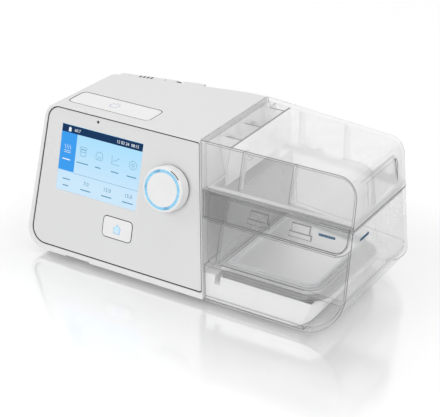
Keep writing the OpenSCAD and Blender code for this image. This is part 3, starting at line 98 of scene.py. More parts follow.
class MachineCase(bpy.types.PropertyGroup):
    edge: FloatProperty(name="Edge radius", description="Radius on the moulded edges of the case",
                        default=0.5 * MM, unit="LENGTH")
    housing: colour_property("Housing", "Colour of the moulded case", (0.80, 0.80, 0.80))
    panel: colour_property("Front panel", "Colour of the front panel", (0.76, 0.76, 0.762))
    key: colour_property("Keys", "Colour of the dial and the two keys", (0.86, 0.86, 0.862))
    # The start key is the key plastic made lighter: painted light on its top face.
    start: colour_property("Start key", "Colour of the start key", (0.90, 0.90, 0.90))
    # Near-black painted shade in the groove round the front panel and in the grooves round the keys.
    groove: colour_property("Groove", "Colour in the groove round the front panel", (0.012, 0.012, 0.013))
    ring: colour_property("Dial ring", "Light of the dial's ring", (0.20, 0.56, 0.80))
    icon: colour_property("Key icon", "Light of the home key's icon", (0.55, 0.80, 0.98))
    icon_line: colour_property("Key icon line", "Line round the home key's icon", (0.06, 0.30, 0.60))


class MachineDisplay(bpy.types.PropertyGroup):
    field: colour_property("Field", "Light field of the image", (0.42, 0.745, 0.98))
    field_low: colour_property("Lower field", "Field at the bottom of the image", (0.60, 0.80, 0.96))
    bar: colour_property("Bar", "Dark bar at the top of the image", (0.0, 0.028, 0.10))
    tile: colour_property("Tile", "Chosen tile", (0.04, 0.33, 0.86))
    ink: colour_property("Ink", "Lines and numbers on the light field", (0.10, 0.30, 0.46))
    paper: colour_property("Paper", "Lines and numbers on the dark bar", (0.85, 0.93, 1.0))
    glow: FloatProperty(name="Glow", description="Strength of the lit image", default=0.92)
    line: FloatProperty(name="Line", description="Width of the icons' lines",
                        default=0.32 * MM, unit="LENGTH")


class MachineChamber(bpy.types.PropertyGroup):
    edge: FloatProperty(name="Edge radius", description="Radius on the edges of the clear pieces",
                        default=0.42 * MM, unit="LENGTH")
    tint: colour_property("Tint", "Tint of the clear plastic", (0.96, 0.962, 0.965))
    top_tint: colour_property("Top tint", "Tint of the lid's frosted top", (1.0, 1.0, 1.0))
    # Dark painted shade along the clear plastic's edges, which stands in for the dark lines that refraction draws
    # there.
    edge_shade: colour_property("Edge tint", "Tint along the edges of the clear plastic",
                               (0.16, 0.162, 0.165))
    roughness: FloatProperty(name="Roughness", description="Roughness of the polished clear plastic",
                             default=0.04)
    ink: colour_property("Level marks", "Colour of the printed level marks", (0.006, 0.085, 0.17))


class MachineStage(bpy.types.PropertyGroup):
    camera: FloatVectorProperty(name="Camera place", description="Place of the camera", size=3,
                                unit="LENGTH", default=(474.8 * MM, -795.5 * MM, 509.0 * MM))
    azimuth: FloatProperty(name="Azimuth", description="Turn of the camera round the machine",
                           default=math.radians(31.09), unit="ROTATION")
    elevation: FloatProperty(name="Elevation", description="Height angle of the camera",
                             default=math.radians(26.92), unit="ROTATION")
    roll: FloatProperty(name="Roll", description="Roll of the camera",
                        default=math.radians(0.476), unit="ROTATION")
    lens: FloatProperty(name="Lens", description="Focal length in millimetres on a 36 mm sensor",
                        default=114.3)


GROUPS = (("machine_case", MachineCase), ("machine_display", MachineDisplay),
          ("machine_chamber", MachineChamber), ("machine_stage", MachineStage))


# Making pieces

MERGE_DISTANCE = 0.002 * MM
FLAT_ANGLE = 0.4
SHARP_ANGLE = 28
SMOOTH_ANGLE = 32
SLEEVE_SIDES = 96


def select_only(*pieces):
    bpy.ops.object.select_all(action="DESELECT")
    for piece in pieces:
        piece.select_set(True)
    bpy.context.view_layer.objects.active = pieces[0]


def dress(piece, *materials):
    piece.data.materials.clear()
    for material in materials:
        piece.data.materials.append(material)


def finish(piece, name, material, body, placement=None):
    """Names a new piece, puts its place into its mesh and lets it ride on its body."""
    piece.name = name
    piece.data.name = name
    select_only(piece)
    if placement is not None:
        piece.matrix_world = placement @ piece.matrix_world
    bpy.ops.object.transform_apply(location=True, rotation=True, scale=True)
    if material:
        dress(piece, material)
    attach(piece, body)
    return piece


def copy_of(node):
    """A merged copy of a construction node's mesh, with flat faces joined up."""
    source = NODES[node]
    piece = bpy.data.objects.new(node + "_copy", source.data.copy())
    bpy.context.scene.collection.objects.link(piece)
    select_only(piece)
    bpy.ops.object.mode_set(mode="EDIT")
    bpy.ops.mesh.select_all(action="SELECT")
    bpy.ops.mesh.remove_doubles(threshold=MERGE_DISTANCE)
    bpy.ops.mesh.dissolve_limited(angle_limit=math.radians(FLAT_ANGLE))
    bpy.ops.object.mode_set(mode="OBJECT")
    return piece


def round_edges(piece, radius, edge_material):
    """Rounds the sharp edges by a radius in metres, and gives the new faces their own material slot."""
    select_only(piece)
    bevel = piece.modifiers.new("Edges", "BEVEL")
    bevel.material = edge_material
    bevel.width = radius
    bevel.segments = 2
    bevel.limit_method = "ANGLE"
    bevel.angle_limit = math.radians(SHARP_ANGLE)
    bevel.use_clamp_overlap = False
    bpy.ops.object.modifier_apply(modifier=bevel.name)
    smooth(piece)
    even = piece.modifiers.new("Even", "WEIGHTED_NORMAL")
    even.keep_sharp = True
    bpy.ops.object.modifier_apply(modifier=even.name)


def smooth(piece):
    select_only(piece)
    bpy.ops.object.shade_smooth_by_angle(angle=math.radians(SMOOTH_ANGLE))


def moulded(node, name, material, body, radius, edge=None):
    """A copy of a construction node with rounded mould edges, which stands for the node.

    It is kept inside the node's own box, because two roundings can meet in a point outside it."""
    piece = copy_of(node)
    dress(piece, material, edge or material)
    round_edges(piece, radius, 1 if edge else 0)
    low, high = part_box(node)
    for vertex in piece.data.vertices:
        vertex.co = [min(max(value, least), most) for value, least, most in zip(vertex.co, low, high)]
    finish(piece, name, None, body)
    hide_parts(node)
    return piece


def curve_piece(outlines, closed, **settings):
    """A curve through flat points in millimetres, made a mesh."""
    curve = bpy.data.curves.new("outline", "CURVE")
    for key, value in settings.items():
        setattr(curve, key, value)
    for points in outlines:
        spline = curve.splines.new("POLY")
        spline.points.add(len(points) - 1)
        for place, point in zip(spline.points, points):
            place.co = (point[0] * MM, point[1] * MM, 0, 1)
        spline.use_cyclic_u = closed
    piece = bpy.data.objects.new("outline", curve)
    bpy.context.scene.collection.objects.link(piece)
    select_only(piece)
    bpy.ops.object.convert(target="MESH")
    return bpy.context.object


def stroke(outlines, width, closed=False, flat=0.2):
    """Raised lines of one width in metres along flat points, flattened to a low ridge."""
    piece = curve_piece(outlines, closed, dimensions="3D", bevel_depth=width / 2, bevel_resolution=1,
                        use_fill_caps=True)
    piece.scale = (1, 1, flat)
    return piece


def plate(outlines, thickness=0.04):
    """A flat plate within closed outlines, with its thickness in millimetres."""
    return curve_piece(outlines, True, dimensions="2D", fill_mode="BOTH", extrude=thickness * MM / 2)


def numbers(text, size):
    """Plain numerals as a flat mesh, centred, with their size in millimetres."""
    bpy.ops.object.select_all(action="DESELECT")
    bpy.ops.object.text_add(location=(0, 0, 0))
    piece = bpy.context.object
    piece.data.body = text
    piece.data.size = size * MM
    piece.data.extrude = 0.02 * MM
    piece.data.align_x = "CENTER"
    piece.data.align_y = "CENTER"
    bpy.ops.object.convert(target="MESH")
    return bpy.context.object


def sleeve(outer, inner, height):
    """A round sleeve standing on its origin, with its sizes in millimetres."""
    bpy.ops.object.select_all(action="DESELECT")
    bpy.ops.mesh.primitive_circle_add(vertices=SLEEVE_SIDES, radius=outer * MM, location=(0, 0, 0))
    piece = bpy.context.object
    bpy.ops.object.mode_set(mode="EDIT")
    bpy.ops.mesh.extrude_edges_move(TRANSFORM_OT_translate={"value": (0, 0, height * MM)})
    bpy.ops.mesh.extrude_edges_move(TRANSFORM_OT_translate={"value": (0, 0, 0)})
    bpy.ops.transform.resize(value=(inner / outer, inner / outer, 1))
    bpy.ops.mesh.extrude_edges_move(TRANSFORM_OT_translate={"value": (0, 0, -height * MM)})
    bpy.ops.mesh.select_all(action="SELECT")
    bpy.ops.mesh.bridge_edge_loops()
    bpy.ops.mesh.select_all(action="SELECT")
    bpy.ops.mesh.normals_make_consistent(inside=False)
    bpy.ops.object.mode_set(mode="OBJECT")
    return piece


def joined(pieces):
    select_only(*pieces)
    if len(pieces) > 1:
        bpy.ops.object.join()
    return bpy.context.object


def moved(piece, x, y):
    piece.location = (x * MM, y * MM, 0)
    return piece


def arc(radius, start, end, steps, centre=(0, 0)):
    """Points on an arc in millimetres, with its angles in degrees."""
    angles = [math.radians(start + (end - start) * i / steps) for i in range(steps + 1)]
    return [(centre[0] + radius * math.cos(a), centre[1] + radius * math.sin(a)) for a in angles]


def rectangle(x0, y0, x1, y1):
    return [(x0, y0), (x1, y0), (x1, y1), (x0, y1)]


def rounded(corners, radii, steps=8):
    """An outline through corners that run counter-clockwise, with its radius at each."""
    points = []
    count = len(corners)
    for i, (corner, radius) in enumerate(zip(corners, radii)):
        here = Vector(corner)
        before = (Vector(corners[i - 1]) - here).normalized()
        after = (Vector(corners[(i + 1) % count]) - here).normalized()
        half = before.angle(after) / 2
        centre = here + (before + after).normalized() * radius / math.sin(half)
        start = here + before * radius / math.tan(half) - centre
        sweep = math.pi - 2 * half
        for k in range(steps + 1):
            turn = Matrix.Rotation(sweep * k / steps, 2)
            points.append(tuple(centre + turn @ start))
    return points


# Shader groups and materials


def link(tree, source, target):
    tree.links.new(source, target)


def maths(tree, operation, *values):
    node = tree.nodes.new("ShaderNodeMath")
    node.operation = operation
    for socket, value in zip(node.inputs, values):
        if isinstance(value, (int, float)):
            socket.default_value = value
        else:
            link(tree, value, socket)
    return node.outputs[0]


def noise(tree, position, scale, detail=2.0):
    node = tree.nodes.new("ShaderNodeTexNoise")
    node.inputs["Detail"].default_value = detail
    link(tree, position, node.inputs["Vector"])
    if isinstance(scale, (int, float)):
        node.inputs["Scale"].default_value = scale
    else:
        link(tree, scale, node.inputs["Scale"])
    return node.outputs["Fac"]


def new_group(name, inputs, outputs):
    group = bpy.data.node_groups.new(name, "ShaderNodeTree")
    for label, kind, value in inputs:
        socket = group.interface.new_socket(label, in_out="INPUT", socket_type="NodeSocket" + kind)
        if value is not None:
            socket.default_value = value
    for label, kind in outputs:
        group.interface.new_socket(label, in_out="OUTPUT", socket_type="NodeSocket" + kind)
    return group, group.nodes.new("NodeGroupInput").outputs, group.nodes.new("NodeGroupOutput").inputs


def moulding_group():
    """Moulded plastic: faint drift of colour, uneven gloss and a fine sparked grain."""
    group = bpy.data.node_groups.get("Moulded plastic")
    if group:
        return group
    group, given, result = new_group("Moulded plastic", [
        ("Position", "Vector", None), ("Colour", "Color", None), ("Grain size", "Float", 0.25),
        ("Drift", "Float", 0.02), ("Roughness", "Float", 0.4), ("Gloss spread", "Float", 0.08),
    ], [("Colour", "Color"), ("Roughness", "Float"), ("Height", "Float")])
    drift = maths(group, "SUBTRACT", noise(group, given["Position"], 14.0), 0.5)
    amount = maths(group, "MULTIPLY_ADD", drift, given["Drift"], 1.0)
    tinted = group.nodes.new("ShaderNodeVectorMath")
    tinted.operation = "SCALE"
    link(group, given["Colour"], tinted.inputs[0])
    link(group, amount, tinted.inputs["Scale"])
    link(group, tinted.outputs[0], result["Colour"])
    patch = maths(group, "SUBTRACT", noise(group, given["Position"], 45.0, 3.0), 0.5)
    gloss = maths(group, "MULTIPLY_ADD", patch, given["Gloss spread"], given["Roughness"])
    link(group, gloss, result["Roughness"])
    frequency = maths(group, "DIVIDE", 1.0 / MM, given["Grain size"])
    link(group, noise(group, given["Position"], frequency), result["Height"])
    return group


def new_material(name):
    material = bpy.data.materials.new(name)
    material.use_nodes = True
    tree = material.node_tree
    return material, tree, tree.nodes["Principled BSDF"]


def object_position(tree):
    return tree.nodes.new("ShaderNodeTexCoord").outputs["Object"]


def bump(tree, shader, height, distance, strength=0.4):
    relief = tree.nodes.new("ShaderNodeBump")
    relief.inputs["Strength"].default_value = strength
    relief.inputs["Distance"].default_value = distance * MM
    link(tree, height, relief.inputs["Height"])
    link(tree, relief.outputs["Normal"], shader.inputs["Normal"])


def plastic(name, colour, roughness=0.38, grain=0.3, relief=0.05):
    """Moulded plastic of one colour, with its grain and relief in millimetres."""
    found = bpy.data.materials.get(name)
    if found:
        return found
    material, tree, shader = new_material(name)
    group = tree.nodes.new("ShaderNodeGroup")
    group.node_tree = moulding_group()
    group.inputs["Grain size"].default_value = grain
    group.inputs["Drift"].default_value = 0.03
    group.inputs["Roughness"].default_value = roughness
    group.inputs["Colour"].default_value = (*colour, 1)
    link(tree, object_position(tree), group.inputs["Position"])
    link(tree, group.outputs["Colour"], shader.inputs["Base Color"])
    link(tree, group.outputs["Roughness"], shader.inputs["Roughness"])
    bump(tree, shader, group.outputs["Height"], relief)
    shader.inputs["Specular IOR Level"].default_value = 0.3
    return material


def brushed(name, colour, roughness, direction):
    """Brushed or rolled metal, with its marks drawn out along one direction."""
    material, tree, shader = new_material(name)
    mapping = tree.nodes.new("ShaderNodeMapping")
    mapping.inputs["Scale"].default_value = [60.0 if direction == i else 2600.0 for i in range(3)]
    link(tree, object_position(tree), mapping.inputs["Vector"])
    marks = noise(tree, mapping.outputs[0], 1.0, 3.0)
    shade = tree.nodes.new("ShaderNodeMix")
    shade.data_type = "RGBA"
    shade.inputs["A"].default_value = (*[0.86 * c for c in colour], 1)
    shade.inputs["B"].default_value = (*colour, 1)
    link(tree, marks, shade.inputs["Factor"])
    link(tree, shade.outputs["Result"], shader.inputs["Base Color"])
    link(tree, maths(tree, "MULTIPLY_ADD", marks, 0.2, roughness - 0.1), shader.inputs["Roughness"])
    bump(tree, shader, marks, 0.02, 0.3)
    shader.inputs["Metallic"].default_value = 1.0
    return material


# Clear plastic: its share before the milky part begins, the number of clear faces after which it hides
# what lies behind, so that no ray ends black, and the share that it keeps off the light.
CLEAR_SHARE = 1 / 6
CLEAR_FACES = 5.5
LIGHT_KEPT_OFF = 0.15


def clear_plastic(name, tint, roughness, straight, slanting, milky_from=None, axis="X"):
    """Clear moulded plastic with faint flow marks: how much it hides, seen straight on and slanting.

    Before the place milky_from on its axis it hides only the clear share."""
    material, tree, shader = new_material(name)
    shader.inputs["Base Color"].default_value = (*tint, 1)
    shader.inputs["IOR"].default_value = 1.58
    flow = noise(tree, object_position(tree), 30.0, 1.0)
    facing = tree.nodes.new("ShaderNodeLayerWeight")
    facing.inputs["Blend"].default_value = 0.5
    slant = maths(tree, "MULTIPLY_ADD", facing.outputs["Facing"], slanting - straight, straight)
    milk = maths(tree, "MULTIPLY", slant, maths(tree, "MULTIPLY_ADD", flow, 0.5, 0.75))
    if milky_from is not None:
        place = tree.nodes.new("ShaderNodeSeparateXYZ")
        link(tree, object_position(tree), place.inputs[0])
        beyond = maths(tree, "GREATER_THAN", place.outputs[axis], milky_from)
        share = maths(tree, "MULTIPLY_ADD", beyond, 1 - CLEAR_SHARE, CLEAR_SHARE)
        milk = maths(tree, "MULTIPLY", milk, share)
    path = tree.nodes.new("ShaderNodeLightPath").outputs
    deep = maths(tree, "GREATER_THAN", path["Transparent Depth"], CLEAR_FACES)
    milk = maths(tree, "MAXIMUM", milk, deep)
    held = maths(tree, "MULTIPLY_ADD", path["Is Shadow Ray"], LIGHT_KEPT_OFF - 1, 1.0)
    link(tree, maths(tree, "MULTIPLY", milk, held), shader.inputs["Alpha"])
    link(tree, maths(tree, "MULTIPLY_ADD", flow, 0.04, roughness - 0.02), shader.inputs["Roughness"])
    bump(tree, shader, flow, 0.05, 0.1)
    return material


def lit(name, colour, strength, second=None, low=0.0, high=1.0):
    """A lit surface under gloss. A second colour takes over between two heights in millimetres."""
    material, tree, shader = new_material(name)
    shader.inputs["Roughness"].default_value = 0.35
    shader.inputs["Specular IOR Level"].default_value = 0.15
    shader.inputs["Emission Strength"].default_value = strength
    position = object_position(tree)
    fade = tree.nodes.new("ShaderNodeSeparateXYZ")
    link(tree, position, fade.inputs[0])
    height = tree.nodes.new("ShaderNodeMapRange")
    height.inputs["From Min"].default_value = low * MM
    height.inputs["From Max"].default_value = high * MM
    link(tree, fade.outputs["Z"], height.inputs["Value"])
    mottle = maths(tree, "MULTIPLY_ADD", noise(tree, position, 900.0, 1.0), 0.08, -0.04)
    share = maths(tree, "ADD", height.outputs[0], mottle)
    blend = tree.nodes.new("ShaderNodeMix")
    blend.data_type = "RGBA"
    blend.inputs["A"].default_value = (*colour, 1)
    blend.inputs["B"].default_value = (*(second or colour), 1)
    link(tree, share, blend.inputs["Factor"])
    link(tree, blend.outputs["Result"], shader.inputs["Emission Color"])
    dark = tree.nodes.new("ShaderNodeVectorMath")
    dark.operation = "SCALE"
    dark.inputs["Scale"].default_value = 0.08
    link(tree, blend.outputs["Result"], dark.inputs[0])
    link(tree, dark.outputs[0], shader.inputs["Base Color"])
    return material


def dial_light(name, colour, strength):
    """The dial ring's light, dimmer at three places round the dial."""
    material, tree, shader = new_material(name)
    place = tree.nodes.new("ShaderNodeMapping")
    place.vector_type = "TEXTURE"
    place.inputs["Location"].default_value = DIAL_CENTRE
    place.inputs["Rotation"].default_value = FACE_TURN.to_euler()
    link(tree, object_position(tree), place.inputs["Vector"])
    sweep = tree.nodes.new("ShaderNodeTexGradient")
    sweep.gradient_type = "RADIAL"
    link(tree, place.outputs[0], sweep.inputs["Vector"])
    ramp = tree.nodes.new("ShaderNodeValToRGB")
    stops = ((0.0, 0.5), (0.02, 0.5), (0.05, 1.0), (0.28, 0.95), (0.30, 0.15), (0.33, 0.2), (0.36, 1.0),
             (0.62, 0.95), (0.78, 1.0), (0.80, 0.2), (0.83, 0.15), (0.86, 1.0), (0.97, 1.0), (0.99, 0.5))
    for number, (where, level) in enumerate(stops):
        stop = ramp.color_ramp.elements[number] if number < 2 else ramp.color_ramp.elements.new(where)
        stop.position = where
        red, green, blue = colour
        stop.color = (level * red, (0.4 + 0.6 * level) * green, (0.6 + 0.4 * level) * blue, 1)
    link(tree, sweep.outputs["Fac"], ramp.inputs["Fac"])
    sparkle = noise(tree, object_position(tree), 700.0, 1.0)
    mix = tree.nodes.new("ShaderNodeMix")
    mix.data_type = "RGBA"
    mix.inputs["B"].default_value = (0.75, 0.9, 1.0, 1)
    link(tree, maths(tree, "POWER", sparkle, 3.0), mix.inputs["Factor"])
    link(tree, ramp.outputs["Color"], mix.inputs["A"])
    link(tree, mix.outputs["Result"], shader.inputs["Emission Color"])
    shader.inputs["Emission Strength"].default_value = strength
    shader.inputs["Base Color"].default_value = (0.02, 0.05, 0.07, 1)
    shader.inputs["Roughness"].default_value = 0.25
    return material


def board_material(name, colour, copper):
    """Circuit board: lacquer over a net of tracks, with bare pads."""
    material, tree, shader = new_material(name)
    position = object_position(tree)
    tracks = tree.nodes.new("ShaderNodeTexVoronoi")
    tracks.distance = "CHEBYCHEV"
    tracks.feature = "DISTANCE_TO_EDGE"
    tracks.inputs["Scale"].default_value = 420.0
    link(tree, position, tracks.inputs["Vector"])
    line = maths(tree, "LESS_THAN", tracks.outputs["Distance"], 0.09)
    pads = tree.nodes.new("ShaderNodeTexVoronoi")
    pads.inputs["Scale"].default_value = 300.0
    link(tree, position, pads.inputs["Vector"])
    pad = maths(tree, "LESS_THAN", pads.outputs["Distance"], 0.2)
    lacquer = tree.nodes.new("ShaderNodeMix")
    lacquer.data_type = "RGBA"
    lacquer.inputs["A"].default_value = (*colour, 1)
    lacquer.inputs["B"].default_value = (*[1.7 * c for c in colour], 1)
    link(tree, line, lacquer.inputs["Factor"])
    bare = tree.nodes.new("ShaderNodeMix")
    bare.data_type = "RGBA"
    bare.inputs["B"].default_value = (*copper, 1)
    link(tree, pad, bare.inputs["Factor"])
    link(tree, lacquer.outputs["Result"], bare.inputs["A"])
    link(tree, bare.outputs["Result"], shader.inputs["Base Color"])
    link(tree, maths(tree, "MULTIPLY", pad, 0.9), shader.inputs["Metallic"])
    shader.inputs["Roughness"].default_value = 0.32
    bump(tree, shader, maths(tree, "ADD", line, pad), 0.05, 0.5)
    return material


def striped(name, colour, dark, pitch, axis):
    """Thin conductors side by side in a film or a ribbon, at a pitch in millimetres."""
    material, tree, shader = new_material(name)
    waves = tree.nodes.new("ShaderNodeTexWave")
    waves.bands_direction = axis
    waves.inputs["Scale"].default_value = 0.31 / (pitch * MM)
    waves.inputs["Distortion"].default_value = 0.0
    link(tree, object_position(tree), waves.inputs["Vector"])
    shade = tree.nodes.new("ShaderNodeMix")
    shade.data_type = "RGBA"
    shade.inputs["A"].default_value = (*dark, 1)
    shade.inputs["B"].default_value = (*colour, 1)
    link(tree, waves.outputs["Fac"], shade.inputs["Factor"])
    link(tree, shade.outputs["Result"], shader.inputs["Base Color"])
    shader.inputs["Roughness"].default_value = 0.35
    bump(tree, shader, waves.outputs["Fac"], 0.08, 0.5)
    return material


def foam_material(name, colour, cell):
    """Open foam with cells of one size in millimetres, darker in the cells' middles: painted shade in the pores.
    """
    material, tree, shader = new_material(name)
    cells = tree.nodes.new("ShaderNodeTexVoronoi")
    cells.inputs["Scale"].default_value = 1.0 / (cell * MM)
    link(tree, object_position(tree), cells.inputs["Vector"])
    shade = tree.nodes.new("ShaderNodeMix")
    shade.data_type = "RGBA"
    shade.inputs["A"].default_value = (*[0.25 * c for c in colour], 1)
    shade.inputs["B"].default_value = (*colour, 1)
    link(tree, cells.outputs["Distance"], shade.inputs["Factor"])
    link(tree, shade.outputs["Result"], shader.inputs["Base Color"])
    shader.inputs["Roughness"].default_value = 0.95
    bump(tree, shader, cells.outputs["Distance"], 0.8, 1.0)
    return material


# Operators


class MachineOperator(bpy.types.Operator):
    bl_options = {"REGISTER", "UNDO"}


class MACHINE_OT_inner(MachineOperator):
    """Finishes of the construction nodes that stay as they are"""
    bl_idname = "machine.inner"
    bl_label = "Inner pieces"

    def execute(self, context):
        look = context.scene
        looks = {
            "dark_plastic": plastic("Dark plastic", (0.02, 0.021, 0.023), roughness=0.42),
            "duct_plastic": plastic("Duct plastic", (0.52, 0.54, 0.56), roughness=0.4),
            "board": board_material("Board green", (0.012, 0.10, 0.04), (0.72, 0.55, 0.25)),
            "flex": striped("Flex ribbon", (0.66, 0.62, 0.54), (0.34, 0.31, 0.26), 1.0, "X"),
            "film": striped("Heater film", (0.50, 0.17, 0.03), (0.24, 0.08, 0.015), 2.4, "Y"),
            "rubber": plastic("Rubber grey", (0.085, 0.088, 0.095), roughness=0.7, grain=0.5, relief=0.08),
            "foam": foam_material("Filter foam", (0.045, 0.048, 0.052), 1.1),
            "housing": plastic("Housing white", look.machine_case.housing),
            "button": plastic("Key white", look.machine_case.key, roughness=0.3, grain=0.2, relief=0.02),
            "steel": brushed("Bright steel", (0.62, 0.62, 0.64), 0.28, 2),
            "heater_metal": brushed("Heater metal", (0.28, 0.28, 0.285), 0.40, 0),
            "tub_metal": brushed("Tub metal", (0.86, 0.86, 0.86), 0.45, 0),
            "mark_blue": plastic("Level ink", look.machine_chamber.ink, roughness=0.5, relief=0.01),
        }
        for node, source in NODES.items():
            if SLOTS[node] in looks:
                dress(source, looks[SLOTS[node]])
        return {"FINISHED"}


class MACHINE_OT_case(MachineOperator):
    """Case shells with rounded mould edges, near-black lips that paint the shade in the grooves round the front
    panel and the keys, and painted shade in the rear slots
    """
    bl_idname = "machine.case"
    bl_label = "Case"

    def execute(self, context):
        look = context.scene.machine_case
        housing = bpy.data.materials["Housing white"]
        panel = plastic("Panel grey", look.panel, roughness=0.32, grain=0.2, relief=0.02)
        moulded("main_housing", "housing_shell", housing, "unit", look.edge)
        moulded("front_panel", "panel_plate", panel, "unit", look.edge * 0.6)
        moulded("rear_cover", "rear_shell", housing, "unit", look.edge * 0.7)
        moulded("base_tray", "tray_shell", housing, "unit", look.edge)
        moulded("filter_door", "filter_door_shell", housing, "filter_flap", look.edge * 0.5)
        moulded("card_door", "card_door_shell", housing, "card_flap", look.edge * 0.4)
        self.gaskets_and_groove_shade(look)
        self.rear_details()
        return {"FINISHED"}

    def rear_details(self):
        """Near-black bars in the louvre slots of the filter door's top, and a near-black tongue in the notch
        beside it: painted shade in those openings.
        """
        dark = plastic("Louvre slot shade", (0.012, 0.012, 0.014), roughness=0.5)
        first_x, first_y, pitch, drift, half_width, length = 36, 103, 3, 0.63, 0.72, 3.9
        bars = []
        for i in range(4):
            x, y = first_x + pitch * i, first_y + drift * i
            bars.append(rounded(rectangle(x - half_width, y, x + half_width, y + length), [0.3] * 4))
        finish(plate(bars, 0.4), "filter_louvre_shade", dark, "filter_flap",
               on_case(0, 0, 108.3))
        # The tongue is painted shade in the notch.
        tongue = plate([rounded(rectangle(66, 110.2, 69, 111.9), [0.4] * 4)], 2)
        finish(tongue, "rear_notch_shade", dark, "unit", on_case(0, 0, 107.5))

    def gaskets_and_groove_shade(self, look):
        """Near-black lips in the gaps round the front panel and the two keys, which paint the shade in those gaps.
        """
        rubber = plastic("Groove shade rubber", look.groove, roughness=0.8)
        panel = [(3.273, 4.8), (155.454, 4.8), (137.37, 109.735), (7.883, 109.735)]
        home = rectangle(66.05, 24.05, 91.55, 39.75)
        start = rectangle(17.85, 35.33, 89.35, 56.83)
        rows = (("panel_gasket_shade", panel, [12.2, 1.6, 1.6, 9.3], 0.84, on_face(0, 0, -0.98)),
                ("home_key_gasket_shade", home, [3.2] * 4, 0.7, on_face(0, 0, -1.06)),
                ("start_key_gasket_shade", start, [4.2] * 4, 0.7, on_case(0, 0, 108.78)))
        for name, corners, radii, width, place in rows:
            lip = stroke([rounded(corners, radii)], width * MM, closed=True, flat=0.35)
            finish(lip, name, rubber, "unit", place)
            smooth(lip)


HOME_CENTRE = (78.8, 31.6)
START_CENTRE = (53.0, 46.2)


class MACHINE_OT_keys(MachineOperator):
    """Home key, start key and dial, with their icons"""
    bl_idname = "machine.keys"
    bl_label = "Keys"

    def execute(self, context):
        look = context.scene.machine_case
        key = bpy.data.materials["Key white"]
        moulded("home_button", "home_key_cap", key, "home_key", look.edge)
        # A lighter copy of the key plastic: painted light on the start key's top.
        start_key_lit = plastic("Start key lit white", look.start, roughness=0.3, grain=0.2, relief=0.02)
        moulded("start_button", "start_key_cap", start_key_lit, "start_key", look.edge)
        for node in ("dial_skirt", "dial_cap"):
            moulded(node, node + "_round", key, "dial", look.edge)
        dress(NODES["dial_ring"], dial_light("Ring glow", look.ring, 0.95))
        # Near-black for painted shade in the gap and the slit round the dial.
        dark = plastic("Gap shade black", (0.006, 0.006, 0.007), roughness=0.6)
        self.dial_seat(dark)
        self.index_slit(dark)
        self.home_icon(look)
        self.start_icon()
        return {"FINISHED"}

    def dial_seat(self, dark):
        """Near-black collar on the panel, and the dial's sleeve that dips into it when the dial is pressed:
        painted shadow in the gap under the dial's skirt.
        """
        rows = (("dial_collar_shadow", "unit", 16.4, 16.12, -1.02, 0.86),
                ("dial_sleeve_shadow", "dial", 16.02, 15.2, -0.06, 1.2))
        for name, body, outer, inner, out, height in rows:
            ring = sleeve(outer, inner, height)
            finish(ring, name, dark, body, on_dial(out))
            smooth(ring)

    def index_slit(self, dark):
        # A near-black stroke where the dial's index slit is: painted shade in the slit.
        piece = stroke([arc(15.75, 39, 70, 16)], 0.7 * MM, flat=0.4)
        finish(piece, "dial_index_shade", dark, "dial", on_dial(10.3))

    def home_icon(self, look):
        walls = [(-3.4, 0.1), (-2.5, 0.1), (-2.5, -3.4), (2.5, -3.4), (2.5, 0.1), (3.4, 0.1), (0, 3.4)]
        door = [(-0.7, -3.0), (-0.7, -0.9), (0.7, -0.9), (0.7, -3.0)]
        glow = lit("Icon glow", look.icon, 0.95)
        finish(plate([walls, door], 0.06), "home_icon", glow, "home_key",
               on_face(*HOME_CENTRE, -0.68))
        outline = stroke([walls], 0.34 * MM, closed=True)
        line = lit("Icon line", look.icon_line, 0.9)
        finish(outline, "home_icon_outline", line, "home_key", on_face(*HOME_CENTRE, -0.65))

    def start_icon(self):
        width = 0.45 * MM
        ring = stroke([arc(3.7, 120, 420, 32)], width)
        bar = stroke([[(0, 1.6), (0, 4.4)]], width)
        ink = plastic("Icon blue", (0.30, 0.38, 0.60), roughness=0.4)
        finish(joined([ring, bar]), "start_icon", ink, "start_key",
               on_case(*START_CENTRE, 108.92))


# The display image on the face, in millimetres: its edges, the dark bar's foot, the chosen tile's right
# edge, the divider's foot, and how far out the two layers lie.
IMAGE_LEFT, IMAGE_RIGHT, IMAGE_TOP = 20.8, 92.0, 98.6
BAR_FOOT, TILE_RIGHT, DIVIDER_FOOT = 92.9, 34.8, 63.6
LOW_LAYER, HIGH_LAYER = -1.19, -1.13


